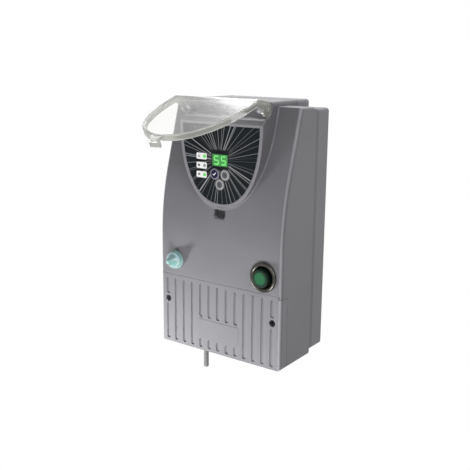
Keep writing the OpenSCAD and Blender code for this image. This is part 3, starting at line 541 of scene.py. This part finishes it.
# %% Rounded lower corners of the catch recess
CATCH_X, CATCH_Z, CATCH_R = 6.2 * MM, 14.8 * MM, 3 * MM
CATCH_Y, CATCH_DEPTH, CATCH_SHY = -73.5 * MM, 6 * MM, 0.08 * MM
corners = []
for side in (-1, 1):
    axis = (side * (CATCH_X - CATCH_R), CATCH_Y, CATCH_Z + CATCH_R)
    middle = (side * (CATCH_X - CATCH_R / 2), CATCH_Y, CATCH_Z + CATCH_R / 2)
    bpy.ops.mesh.primitive_cylinder_add(vertices=48, radius=CATCH_R, depth=3 * CATCH_DEPTH,
                                        location=axis, rotation=(math.pi / 2, 0, 0))
    hollow = bpy.context.object
    bpy.ops.mesh.primitive_cube_add(size=1, location=middle, scale=(CATCH_R, CATCH_DEPTH, CATCH_R))
    corner = bpy.context.object
    cut = corner.modifiers.new("round", "BOOLEAN")
    cut.operation, cut.object, cut.solver = "DIFFERENCE", hollow, "EXACT"
    bpy.ops.object.modifier_apply(modifier=cut.name)
    bpy.data.objects.remove(hollow)
    for vertex in corner.data.vertices:
        spot = corner.matrix_world @ vertex.co
        if spot.y < CATCH_Y:
            rise = spot.z - LEAN_Z
            spot.y = FRONT_Y + CATCH_SHY + rise * rise / (2 * LEAN_R)
            vertex.co = corner.matrix_world.inverted() @ spot
    corners.append(corner)
ride(seat(merged("catch_corners", corners)), "case", "case_plastic", case_grey)

# %% [markdown]
# ## The printed label
# The panel is a black film with thin grey rays that spread from the display to its rim, closer
# and wider at random, and a pale ring printed round each key. The rays are drawn in the material:
# the angle round the display is cut into equal sectors, white noise nudges each sector's ray and
# sets its width and tone, and the distance across the ray, in metres, decides where it is pale.

# %% Distances and soft bands
def distance_from(made, x, z):
    """Steps across and up, and the distance, from the line that runs front to back at x, z."""
    spot = split_axes(made, "Object")
    across = math_node(made, "SUBTRACT", spot["X"], x)
    up = math_node(made, "SUBTRACT", spot["Z"], z)
    squares = math_node(made, "ADD", math_node(made, "MULTIPLY", across, across),
                        math_node(made, "MULTIPLY", up, up))
    return across, up, math_node(made, "SQRT", squares)


def between(made, value, low, high, soft):
    """1 where value lies between low and high, with soft ends."""
    rise = add_node(made, "MapRange", interpolation_type="SMOOTHSTEP",
                    From_Min=low - soft, From_Max=low + soft)
    fall = add_node(made, "MapRange", interpolation_type="SMOOTHSTEP",
                    From_Min=high - soft, From_Max=high + soft, To_Min=1, To_Max=0)
    for node in (rise, fall):
        join(made, value, node.inputs["Value"])
    return math_node(made, "MULTIPLY", rise.outputs["Result"], fall.outputs["Result"])


# %% Label film and its rays
DISPLAY_Z = 67.9 * MM
RAYS = 50
RAY_ANGLE = 2 * math.pi / RAYS
CLEAR_HALF = 9.5 * MM                                   # half of the square kept free of rays
NUDGE_LEAST, NUDGE_SPREAD = 0.08, 0.84                  # a ray's place in its sector
HALF_LEAST, HALF_SPREAD = 0.24 * MM, 0.75 * MM          # half of a ray's width
TONE_LEAST, TONE_SPREAD = 0.06, 0.42
film = finish("label_film", (0.012, 0.014, 0.016), 0.3, Specular_IOR_Level=0.06)
work = partial(math_node, film)
across, up, reach = distance_from(film, 0, DISPLAY_Z)
turns = work("DIVIDE", work("ARCTAN2", across, up), RAY_ANGLE)
chance = add_node(film, "TexWhiteNoise", noise_dimensions="1D")
join(film, work("FLOOR", turns), chance.inputs["W"])
chances = add_node(film, "SeparateColor")
join(film, chance.outputs["Color"], chances.inputs["Color"])
nudge = work("MULTIPLY_ADD", chances.outputs["Red"], NUDGE_SPREAD, NUDGE_LEAST)
off_ray = work("ABSOLUTE", work("SUBTRACT", work("FRACT", turns), nudge))
off_ray = work("MULTIPLY", work("MULTIPLY", off_ray, RAY_ANGLE), reach)
mostly_thin = work("POWER", chances.outputs["Green"], 2.5)
half_ray = work("MULTIPLY_ADD", mostly_thin, HALF_SPREAD, HALF_LEAST)
ray = add_node(film, "MapRange", interpolation_type="SMOOTHSTEP", To_Min=1, To_Max=0)
join(film, off_ray, ray.inputs["Value"])
join(film, half_ray, ray.inputs["From Max"])
from_display = work("MAXIMUM", work("ABSOLUTE", across), work("ABSOLUTE", up))
ray_mask = work("MULTIPLY", ray.outputs["Result"],
                between(film, from_display, CLEAR_HALF, 1, 1.2 * MM))
ray_tone = work("MULTIPLY_ADD", chances.outputs["Blue"], TONE_SPREAD, TONE_LEAST)
pale = work("MULTIPLY", ray_mask, ray_tone)
print("rays on the label:", RAYS)

# %% Rings round the keys, and the film's print as one colour
KEYS = {"key_confirm": (-5.7 * MM, 55.2 * MM), "key_forward": (5.7 * MM, 55.2 * MM),
        "key_back": (0, 46 * MM)}
RING_IN, RING_OUT, RING_CLEAR, RING_TONE = 4.25 * MM, 4.95 * MM, 5.2 * MM, 0.38
PRINT_GREY = (0.85, 0.85, 0.88)
for key_x, key_z in KEYS.values():
    reach = distance_from(film, key_x, key_z)[2]
    ring = work("MULTIPLY", between(film, reach, RING_IN, RING_OUT, 0.08 * MM), RING_TONE)
    inside = between(film, reach, -1, RING_CLEAR, 0.1 * MM)
    pale = work("MULTIPLY", pale, work("SUBTRACT", 1, inside))
    pale = work("MAXIMUM", pale, ring)
black = wander(film, noise(film, 30), (0.007, 0.009, 0.011), (0.011, 0.014, 0.016))
feed(film, "Base Color", lay_over(film, pale, black, PRINT_GREY))
roughen(film, noise(film, 1500), 0.25, 0.01 * MM)
paint(nodes["keypad_label"], film)

# %% [markdown]
# ## Painted light and shade on the case
# These tones are painted light and shade on the base colour. Upright edges get a painted
# highlight, and their inner side painted shade. What faces up is painted paler, as light from above
# would make it, in patches like dust. Where the wall of the turret meets the leaning shoulder a
# narrow, pale line is painted, a highlight, and it follows the turret's outline, so the finish
# works
# out the same curve: a superellipse below and two straight sides above. The wall itself is painted
# a tone darker, a painted shade, and the hinge trough under the lid is painted paler, with a paler
# brim, a painted light. Each of these is a mask made from where the surface is and which way it
# faces, and the base colour is multiplied there.

# %% Painted highlight and painted shade on upright edges
HALF_TURNED = {"low": 0.34, "high": 0.74, "soft": 0.1}      # how far the rounding faces sideways
NEARLY_TURNED = {"low": 0.84, "high": 0.985, "soft": 0.03}
for made in (case_grey, cover_grey):
    faces = split_axes(made, "Normal")
    sideways = math_node(made, "ABSOLUTE", faces["X"])
    for turned, forwards, factor in ((HALF_TURNED, -0.5, 1.75), (NEARLY_TURNED, -0.12, 0.8)):
        on_edge = math_node(made, "MULTIPLY", between(made, sideways, **turned),
                            math_node(made, "LESS_THAN", faces["Y"], forwards))
        retone(made, on_edge, factor)

# %% Painted light from above on the faces that look up, patchy like dust
for made in (case_grey, rear_grey):
    upward = between(made, split_axes(made, "Normal")["Z"], 0.85, 2, 0.1)
    patchy_top_light = math_node(made, "MULTIPLY_ADD", noise(made, 60), 0.5, 0.55)
    retone(made, math_node(made, "MULTIPLY", upward, patchy_top_light), 1.45)

# %% Painted highlight line round the turret, and painted shade on its wall
SIDE_X, TIP_Z, STRAIGHT_Z, POWER = 45.5 * MM, 25 * MM, 100 * MM, 2.25
work, band = partial(math_node, case_grey), partial(between, case_grey)
spot, faces = split_axes(case_grey, "Object"), split_axes(case_grey, "Normal")
side = work("DIVIDE", work("ABSOLUTE", spot["X"]), SIDE_X)
drop = work("DIVIDE", work("SUBTRACT", STRAIGHT_Z, spot["Z"]), STRAIGHT_Z - TIP_Z)
drop = work("MAXIMUM", drop, 0.0)
outline = work("ADD", work("POWER", side, POWER), work("POWER", drop, POWER))
# The pale line where the wall meets the shoulder is a painted highlight.
on_front = work("LESS_THAN", faces["Y"], -0.8)
retone(case_grey, work("MULTIPLY", band(outline, 1.002, 1.062, 0.01), on_front), 1.4)
# The wall's darker tone is painted shade.
on_wall = work("GREATER_THAN", faces["Y"], -0.3)
retone(case_grey, work("MULTIPLY", band(outline, 0.9, 1.02, 0.01), on_wall), 0.8)

# %% Painted light in the hinge trough and on its brim
TROUGH_Z, TROUGH_Y, TROUGH_SIDE = (104.8 * MM, 119.5 * MM), (-74.5 * MM, -58 * MM), 0.985
BRIM_Z, BRIM_Y, BRIM_SIDE = (104.9 * MM, 106.7 * MM), (-72.6 * MM, -70 * MM), 0.95
for heights, depths, half, soft in ((TROUGH_Z, TROUGH_Y, TROUGH_SIDE, 0.5 * MM),
                                    (BRIM_Z, BRIM_Y, BRIM_SIDE, 0.3 * MM)):
    mask = work("MULTIPLY", band(spot["Z"], *heights, soft), band(spot["Y"], *depths, soft))
    retone(case_grey, work("MULTIPLY", mask, work("LESS_THAN", side, half)), 1.6)

# %% [markdown]
# ## The two-digit display
# The display is a small seven-segment module behind a green window. Its digits are lit bars, so
# each bar is a thin plate that gives off light of its own, and the window glows dimly round them.

# %% Display window
FILM_Y = -75.7 * MM
window_green = finish("window_green", (0.01, 0.10, 0.02), 0.25, Emission_Strength=1.0)
feed(window_green, "Emission Color",
     wander(window_green, noise(window_green, 400), (0.035, 0.16, 0.04), (0.05, 0.21, 0.05)))
DISPLAY_W, DISPLAY_H = 16.6 * MM, 10.4 * MM
window = plate("display_window", (0, DISPLAY_W), (DISPLAY_Z, DISPLAY_H), FILM_Y - 0.06 * MM,
               0.2 * MM, 0.6 * MM)
ride(window, "case", "dark_plastic", window_green)

# %% Digits
DIGIT_X, DIGIT_W, DIGIT_H, BAR = 3.9 * MM, 5.6 * MM, 8.4 * MM, 1.25 * MM
LEVEL_BAR, UPRIGHT_BAR = DIGIT_W - 0.9 * MM, (DIGIT_H - BAR) / 2 - 0.1 * MM
BARS = {"top": (0, 1, False), "middle": (0, 0, False), "bottom": (0, -1, False),
        "upper_left": (-1, 0.5, True), "lower_right": (1, -0.5, True)}
parts = []
for digit_x in (-DIGIT_X, DIGIT_X):
    for bar, (side, level, upright) in BARS.items():
        x = digit_x + side * (DIGIT_W - BAR) / 2
        z = DISPLAY_Z + level * (DIGIT_H - BAR) / 2
        size = (BAR, UPRIGHT_BAR) if upright else (LEVEL_BAR, BAR)
        parts.append(plate("bar_" + bar, (x, size[0]), (z, size[1]), FILM_Y - 0.12 * MM, 0.1 * MM,
                           0.45 * BAR, segments=1))
digit_light = finish("digit_light", (0.05, 0.4, 0.06), 0.4, Emission_Strength=1.0)
feed(digit_light, "Emission Color",
     wander(digit_light, noise(digit_light, 900), (0.10, 0.31, 0.09), (0.15, 0.40, 0.13)))
ride(merged("digits", parts), "case", "green_light", digit_light)

# %% [markdown]
# ## Status windows
# Three white windows stand in a column to the left of the display. Each has a small dark symbol
# in its left half and an indicator light in its right half: the first and last lights are green
# and lit, the middle one is off. The symbols here are plain: two bars, a lozenge, and a bar with a
# dot.

# %% White windows
LIGHTS_Z = (70.2 * MM, 61.8 * MM, 53.5 * MM)
WINDOW_X, WINDOW_W, WINDOW_H = -20.65 * MM, 11.7 * MM, 5.7 * MM
white_print = finish("white_print", (0.8, 0.8, 0.79), 0.4)
feed(white_print, "Base Color",
     wander(white_print, noise(white_print, 700), (0.74, 0.74, 0.73), (0.84, 0.84, 0.83)))
windows = merged("status_windows", [
    plate("window", (WINDOW_X, WINDOW_W), (z, WINDOW_H), FILM_Y - 0.05 * MM, 0.1 * MM, 1.1 * MM)
    for z in LIGHTS_Z])
ride(windows, "case", "label_film", white_print)


# %% Symbols
def mark(row, x, width, height, corner, lift=0, spin=0):
    """One printed mark in a row's window; its place and size are in millimetres."""
    return plate("symbol", (x * MM, width * MM), (LIGHTS_Z[row] + lift * MM, height * MM),
                 FILM_Y - 0.09 * MM, 0.06 * MM, corner * MM, 2, math.radians(spin))


ink = finish("printing_ink", (0.02, 0.02, 0.03), 0.5)
feed(ink, "Base Color", wander(ink, noise(ink, 900), (0.015, 0.015, 0.022), (0.03, 0.03, 0.04)))
symbols = [mark(0, -23.6, 2.4, 0.6, 0.2, lift=0.6), mark(0, -23.6, 2.4, 0.6, 0.2, lift=-0.6),
           mark(1, -23.6, 2.1, 2.1, 0.5, spin=45),
           mark(2, -23.9, 0.9, 2.6, 0.3), mark(2, -22.9, 1.3, 1.3, 0.3, lift=0.2)]
ride(merged("window_symbols", symbols), "case", "label_film", ink)

# %% Indicator lights
LIGHT_X, LIGHT_R, LIGHT_Y, LIGHT_T = -17.3 * MM, 1.65 * MM, FILM_Y - 0.35 * MM, 0.4 * MM


def light_at(name, z):
    """A round light facing the front, with its edges rounded."""
    deselect()
    bpy.ops.mesh.primitive_cylinder_add(vertices=40, radius=LIGHT_R, depth=LIGHT_T,
                                        location=(LIGHT_X, LIGHT_Y + LIGHT_T / 2, z),
                                        rotation=(math.pi / 2, 0, 0))
    return round_edges(seat(added(name)), 0.2 * MM, 3)


lit_green = finish("lit_green", (0.05, 0.3, 0.05), 0.3, Emission_Strength=0.8)
feed(lit_green, "Emission Color", ramp(lit_green, distance_from(lit_green, LIGHT_X, 0)[0],
                                       [(0, (0.10, 0.42, 0.08)), (1, (0.03, 0.3, 0.03))]))
unlit = moulded("unlit_light", (0.33, 0.33, 0.36), 0.3)
lit = merged("lit_indicators", [light_at("light", LIGHTS_Z[row]) for row in (0, 2)])
ride(lit, "case", "green_light", lit_green)
ride(light_at("unlit_indicator", LIGHTS_Z[1]), "case", "grey_key", unlit)

# %% [markdown]
# ## Keys
# Three small round keys stand a little proud of the film. The confirm key is navy with a white
# tick, the two direction keys are grey with a broad pale ring and a small arrow. The rings are
# part of each key's material: the distance from the key's own axis chooses the tone.

# %% Key finishes
def key_finish(name, key, middle, ring_color, ring_from):
    made = finish(name, middle, 0.4, Specular_IOR_Level=0.15)
    ring = between(made, distance_from(made, *KEYS[key])[2], ring_from, 1, 0.12 * MM)
    tone = wander(made, noise(made, 300), shade(middle, 0.8), shade(middle, 1.25))
    feed(made, "Base Color", lay_over(made, ring, tone, ring_color))
    roughen(made, noise(made, 2500), 0.3, 0.02 * MM)
    paint(nodes[key], made)


NAVY, NAVY_RING = (0.004, 0.005, 0.03), (0.25, 0.24, 0.33)
KEY_GREY, GREY_RING = (0.085, 0.085, 0.095), (0.36, 0.36, 0.36)
key_finish("navy_key", "key_confirm", NAVY, NAVY_RING, 3.8 * MM)
key_finish("grey_key_forward", "key_forward", KEY_GREY, GREY_RING, 3.0 * MM)
key_finish("grey_key_back", "key_back", KEY_GREY, GREY_RING, 3.0 * MM)

# %% Tick and arrows
KEY_Y = -76.3 * MM


def stroke(key, right, up, length, width, spin, proud=0.04):
    """A round-ended stroke on a key, placed from the key's middle, in millimetres."""
    x, z = KEYS[key]
    return plate("stroke", (x + right * MM, length * MM), (z + up * MM, width * MM),
                 KEY_Y - proud * MM, 0.06 * MM, 0.3 * MM, 3, math.radians(spin))


tick = merged("tick", [stroke("key_confirm", -1.05, -0.55, 1.7, 0.8, 40),
                       stroke("key_confirm", 0.45, 0.1, 3.5, 0.8, -48, proud=0.045)])
ride(tick, "confirm_key", "navy_key", white_print)
for key, body, point in (("key_forward", "forward_key", 1), ("key_back", "back_key", -1)):
    arrow = merged(key + "_arrow", [stroke(key, 0, 0.62, 2.2, 0.75, 42 * point),
                                    stroke(key, 0, -0.62, 2.2, 0.75, -42 * point, proud=0.045)])
    ride(arrow, body, "grey_key", ink)

# %% [markdown]
# ## The clear lid
# The lid is moulded from clear plastic: a flat panel with a low wall all round and two ears that
# turn on the hinge pins. The panel is nearly invisible; the wall, seen edge on, gathers light and
# reads as a grey, shining bead. So the copy of the CAD lid is rounded well, and its faces take one
# of two finishes by their place: turned back to the closed position, a face that lies flat in the
# front plane and inside the wall is panel, and the rest is wall.

# %% Lid shape
HINGE = Vector((0, -69 * MM, 114.5 * MM))
CLOSE = Matrix.Rotation(math.radians(71), 3, "X")
LID_Y, LID_T = -82 * MM, 1.8 * MM
lid = round_edges(copy_of("clear_lid", "lid"), 0.75 * MM, 3)
bead = finish("lid_bead", (0.6, 0.61, 0.6), 0.06, Transmission_Weight=0.65, IOR=1.49)
clear = finish("lid_panel", (0.97, 0.97, 0.955), 0.03, Transmission_Weight=1.0, IOR=1.04,
               Coat_Weight=1.0, Coat_Roughness=0.22, Coat_IOR=1.49)
paint(lid, bead, clear)
panel_faces = 0
for face in lid.data.polygons:
    depth = (CLOSE @ (face.center - HINGE) + HINGE).y - LID_Y
    if min(abs(depth), abs(depth - LID_T)) < 0.2 * MM and abs((CLOSE @ face.normal).y) > 0.98:
        face.material_index = 1
        panel_faces += 1
print("lid faces:", len(lid.data.polygons), "of which panel:", panel_faces)

# %% Lid finishes
# The clear wall's grey tone is painted shade: it stands in for how clear plastic looks seen edge
# on.
feed(bead, "Base Color", wander(bead, noise(bead, 18), (0.42, 0.425, 0.395), (0.6, 0.605, 0.565)))
roughen(bead, noise(bead, 60), 0.06, 0.1 * MM)
roughen(clear, noise(clear, 12, detail=0), 0.05, 0.1 * MM)
ride(lid, "lid", "clear_plastic")
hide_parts("clear_lid")

# %% [markdown]
# ## Push button
# A nickel bezel holds a deep green cap. Its tone follows the distance from its axis: the middle is
# painted paler, a painted glow where light enters the plastic, and the rim is painted dark, a
# painted shade.

# %% Bezel
nickel = finish("black_nickel", (0.07, 0.067, 0.06), 0.2, Metallic=1.0)
feed(nickel, "Roughness", wander(nickel, noise(nickel, 120), (0.16,) * 3, (0.27,) * 3))
feed(nickel, "Base Color",
     wander(nickel, noise(nickel, 60), (0.055, 0.052, 0.046), (0.085, 0.082, 0.073)))
bezel = round_edges(copy_of("button_bezel", "bezel"), 0.5 * MM, 3)
ride(bezel, "case", "dark_metal", nickel)
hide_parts("button_bezel")

# %% Cap
BUTTON, CAP_R = (50 * MM, -31 * MM), 8.5 * MM
cap_green = finish("cap_green", (0.01, 0.09, 0.035), 0.5, Specular_IOR_Level=0.12)
cap_reach = math_node(cap_green, "MULTIPLY", distance_from(cap_green, *BUTTON)[2], 1 / CAP_R)
# A painted glow in the middle of the cap, and painted shade round its rim.
feed(cap_green, "Base Color", ramp(cap_green, cap_reach, [
    (0.0, (0.014, 0.12, 0.045)), (0.6, (0.011, 0.10, 0.038)),
    (0.7, (0.003, 0.022, 0.01)), (1.0, (0.002, 0.008, 0.005))]))
roughen(cap_green, noise(cap_green, 800), 0.2, 0.03 * MM)
cap = round_edges(copy_of("button_cap", "cap"), 0.6 * MM, 3)
ride(cap, "button", "green_cap", cap_green)
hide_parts("button_cap")

# %% [markdown]
# ## Light sensor
# The sensor looks out through a pale sea-green dome. It is translucent rather than clear: part of
# the light passes through and part scatters inside, which keeps it bright with a sharp highlight.
# Its tone follows the distance from its axis: a painted highlight at the tip and round the edge,
# painted shade in the ring between, and a little noise keeps the rings from being exact.

# %% Dome
SENSOR, DOME_R = (-50 * MM, -31 * MM), 8 * MM
dome_green = finish("sea_green_dome", (0.55, 0.82, 0.82), 0.08, Transmission_Weight=0.55, IOR=1.45,
                    Subsurface_Weight=0.4, Subsurface_Scale=0.004, Coat_Weight=0.6)
work = partial(math_node, dome_green)
dome_reach = work("ADD", work("MULTIPLY", distance_from(dome_green, *SENSOR)[2], 1 / DOME_R),
                  work("MULTIPLY", noise(dome_green, 500), 0.05))
# Painted highlight at the tip and the edge, painted shade in the ring between.
feed(dome_green, "Base Color", ramp(dome_green, dome_reach, [
    (0.1, (0.8, 1.0, 0.98)), (0.3, (0.36, 0.66, 0.66)),
    (0.62, (0.4, 0.72, 0.72)), (0.82, (0.68, 0.95, 0.93))]))
roughen(dome_green, noise(dome_green, 300), 0.2, 0.05 * MM)
paint(nodes["sensor_lens"], dome_green)

# %% Collar
collar_green = moulded("collar_green", (0.26, 0.40, 0.40), 0.3)
collar = round_edges(copy_of("sensor_housing", "sensor_collar"), 0.3 * MM)
ride(collar, "case", "cover_plastic", collar_green)
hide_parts("sensor_housing")

# %% [markdown]
# ## Metals, rubber and the rest
# Most of what is left is inside the case, and is seen only when the shells are taken away. Each
# kind of part still gets a finish with the marks of how it was made: brushed sheet, turned brass,
# zinc plating, natural nylon, moulded rubber, a green circuit board with its tracks.

# %% Metals
def metal(name, color, rough, stretch=(1, 1, 1)):
    """Metal whose grain may be stretched into brush or turning marks."""
    made = finish(name, color, rough, Metallic=1.0)
    grain = add_node(made, "TexNoise", Scale=300, Detail=4)
    join(made, mapped(made, Scale=stretch), grain.inputs["Vector"])
    marks = grain.outputs["Fac"]
    feed(made, "Base Color", wander(made, marks, shade(color, 0.82), shade(color, 1.12)))
    feed(made, "Roughness", wander(made, marks, (rough * 0.8,) * 3, (rough * 1.25,) * 3))
    roughen(made, marks, 0.3, 0.02 * MM)
    return made


zinc = metal("zinc_plate", (0.55, 0.55, 0.56), 0.32)
brushed = metal("brushed_sheet", (0.5, 0.5, 0.5), 0.38, stretch=(1, 12, 12))
black_steel = metal("black_steel", (0.012, 0.012, 0.014), 0.35)
brass = metal("turned_brass", (0.62, 0.43, 0.16), 0.3, stretch=(1, 10, 1))
for node in ("case_screws", "hinge_pins", "board_screws", "button_spring", "plate_screws",
             "motor_screws", "idler_shaft", "drum_shaft", "shaft_clips", "battery_contacts"):
    paint(nodes[node], zinc)
for node in ("drive_plate", "gear_motor"):
    paint(nodes[node], brushed)
for node in ("motor_pinion", "drum_bush_front", "drum_bush_rear"):
    paint(nodes[node], brass)
paint(nodes["cover_screws"], black_steel)

# %% Plastics and rubber
rubber = moulded("seal_rubber", (0.022, 0.022, 0.022), 0.75, grain=1400, edge=1.2)
dark = moulded("dark_plastic", (0.02, 0.02, 0.021), 0.4, edge=1.5)
nylon = moulded("white_nylon", (0.68, 0.67, 0.62), 0.42, grain=500, edge=1.05)
amber = moulded("photocell_coat", (0.36, 0.11, 0.05), 0.3)
for node in ("case_seal", "cover_seal"):
    paint(nodes[node], rubber)
for node in ("display_module", "key_switches", "board_components", "button_nut", "button_switch",
             "sensor_nut", "battery_holder"):
    paint(nodes[node], dark)
for node in ("idler_gear", "drum_gear", "cord_drum"):
    paint(nodes[node], nylon)
paint(nodes["cord_guide"], cover_grey)
paint(nodes["photocell"], amber)
paint(nodes["status_lights"], lit_green)
for node in ("cord_winding", "cord_run"):
    paint(nodes[node], sheath)

# %% Circuit board
green_board = finish("circuit_board", (0.015, 0.12, 0.04), 0.35)
tracks = add_node(green_board, "TexBrick", offset=0.5, Scale=110.0, Mortar_Size=0.03,
                  Color1=(0.012, 0.10, 0.03, 1), Color2=(0.018, 0.14, 0.045, 1),
                  Mortar=(0.04, 0.26, 0.09, 1))
join(green_board, mapped(green_board, Rotation=(math.pi / 2, 0, 0)), tracks.inputs["Vector"])
feed(green_board, "Base Color", tracks.outputs["Color"])
paint(nodes["control_board"], green_board)

# %% Cells and leads
CELL_LOW, CELL_HIGH = -106 * MM, -55 * MM
STEEL, JACKET, COPPER = (0.5, 0.5, 0.5), (0.02, 0.02, 0.02), (0.55, 0.3, 0.09)
jacket = finish("cell_jacket", (0.05, 0.05, 0.05), 0.3, Metallic=0.6)
up_the_cell = add_node(jacket, "MapRange", From_Min=CELL_LOW, From_Max=CELL_HIGH)
join(jacket, split_axes(jacket, "Object")["Z"], up_the_cell.inputs["Value"])
feed(jacket, "Base Color", ramp(jacket, up_the_cell.outputs["Result"], [
    (0.0, STEEL), (0.04, JACKET), (0.68, JACKET), (0.7, COPPER), (0.95, STEEL)]))
paint(nodes["batteries"], jacket)
paint(nodes["wiring"], moulded("red_lead", (0.35, 0.02, 0.015), 0.5))

# %% [markdown]
# ## Floor, background and lamps
# The object hangs on a wall, but here it is shown against plain white. The floor lies well below
# and looks white to the camera and to reflections, while other light sees a plain grey one, so it
# adds no light of its own. The world does the same.

# %% White floor
FLOOR_Z, FLOOR_SIZE, FLOOR_GREY = -0.62, 30, (0.6, 0.6, 0.6, 1)
deselect()
bpy.ops.mesh.primitive_plane_add(size=FLOOR_SIZE, location=(0, 0, FLOOR_Z))
floor = added("floor")


def seen_directly(tree):
    """1 for a ray from the camera, off a glossy surface or through a clear one."""
    path = tree.nodes.new("ShaderNodeLightPath")
    most = path.outputs["Is Camera Ray"]
    for kind in ("Is Glossy Ray", "Is Transmission Ray"):
        step = tree.nodes.new("ShaderNodeMath")
        step.operation = "MAXIMUM"
        tree.links.new(most, step.inputs[0])
        tree.links.new(path.outputs[kind], step.inputs[1])
        most = step.outputs[0]
    return most


floor_white = bpy.data.materials.new("floor_white")
floor_white.use_nodes = True
tree = floor_white.node_tree
tree.nodes.clear()
plain = tree.nodes.new("ShaderNodeBsdfDiffuse")
plain.inputs["Color"].default_value = FLOOR_GREY
white = tree.nodes.new("ShaderNodeEmission")
mix = tree.nodes.new("ShaderNodeMixShader")
output = tree.nodes.new("ShaderNodeOutputMaterial")
tree.links.new(seen_directly(tree), mix.inputs["Fac"])
tree.links.new(plain.outputs["BSDF"], mix.inputs[1])
tree.links.new(white.outputs["Emission"], mix.inputs[2])
tree.links.new(mix.outputs["Shader"], output.inputs["Surface"])
paint(floor, floor_white)

# %% World
WORLD_LIGHT = 0.02
world = bpy.data.worlds.new("studio")
bpy.context.scene.world = world
world.use_nodes = True
tree = world.node_tree
background = tree.nodes["Background"]
background.inputs["Color"].default_value = (1, 1, 1, 1)
strength = tree.nodes.new("ShaderNodeMapRange")
tree.links.new(seen_directly(tree), strength.inputs["Value"])
strength.inputs["To Min"].default_value, strength.inputs["To Max"].default_value = WORLD_LIGHT, 1
tree.links.new(strength.outputs["Result"], background.inputs["Strength"])
bpy.context.scene.view_settings.view_transform = "Standard"
print("world gives", WORLD_LIGHT, "to other light")

# %% [markdown]
# The lamps are soft squares, as a studio's soft boxes are. Two low ones in front light the cover
# and the under side of the lid, two at the right light the long side, and one behind, one above
# and a card at the back left draw the edges. A tall, narrow strip near the viewer gives the upright
# edges their thin highlight.

# %% Lamps
AIM = Vector((0, -0.06, 0))


def lamp(name, place, power, size, tall=None):
    """A soft lamp with its face towards the middle of the object."""
    light = bpy.data.lights.new(name, "AREA")
    light.energy, light.size = power, size
    if tall:
        light.shape, light.size_y = "RECTANGLE", tall
    holder = bpy.data.objects.new(name, light)
    bpy.context.scene.collection.objects.link(holder)
    facing = (AIM - Vector(place)).to_track_quat("-Z", "Y")
    holder.matrix_world = Matrix.Translation(place) @ facing.to_matrix().to_4x4()
    print("lamp", name, "gives", power, "W")


lamp("key", (-0.378, -0.305, -0.316), 2.5, 0.08)
lamp("low_front", (0.05, -0.30, -0.257), 1.0, 0.12)
lamp("high_right", (0.612, -0.414, 0.843), 2.3, 0.35)
lamp("right", (0.963, -0.318, 0.465), 3.6, 0.35)
lamp("behind_right", (0.887, 0.561, -0.19), 1.8, 0.35)
lamp("overhead", (0.1, 0.5, 1.0), 9.0, 0.4)
lamp("back_card", (-0.56, 0.70, 0.64), 1.0, 0.25)
lamp("edge_strip", (0.36, -0.86, 0.05), 0.9, 0.03, 0.8)
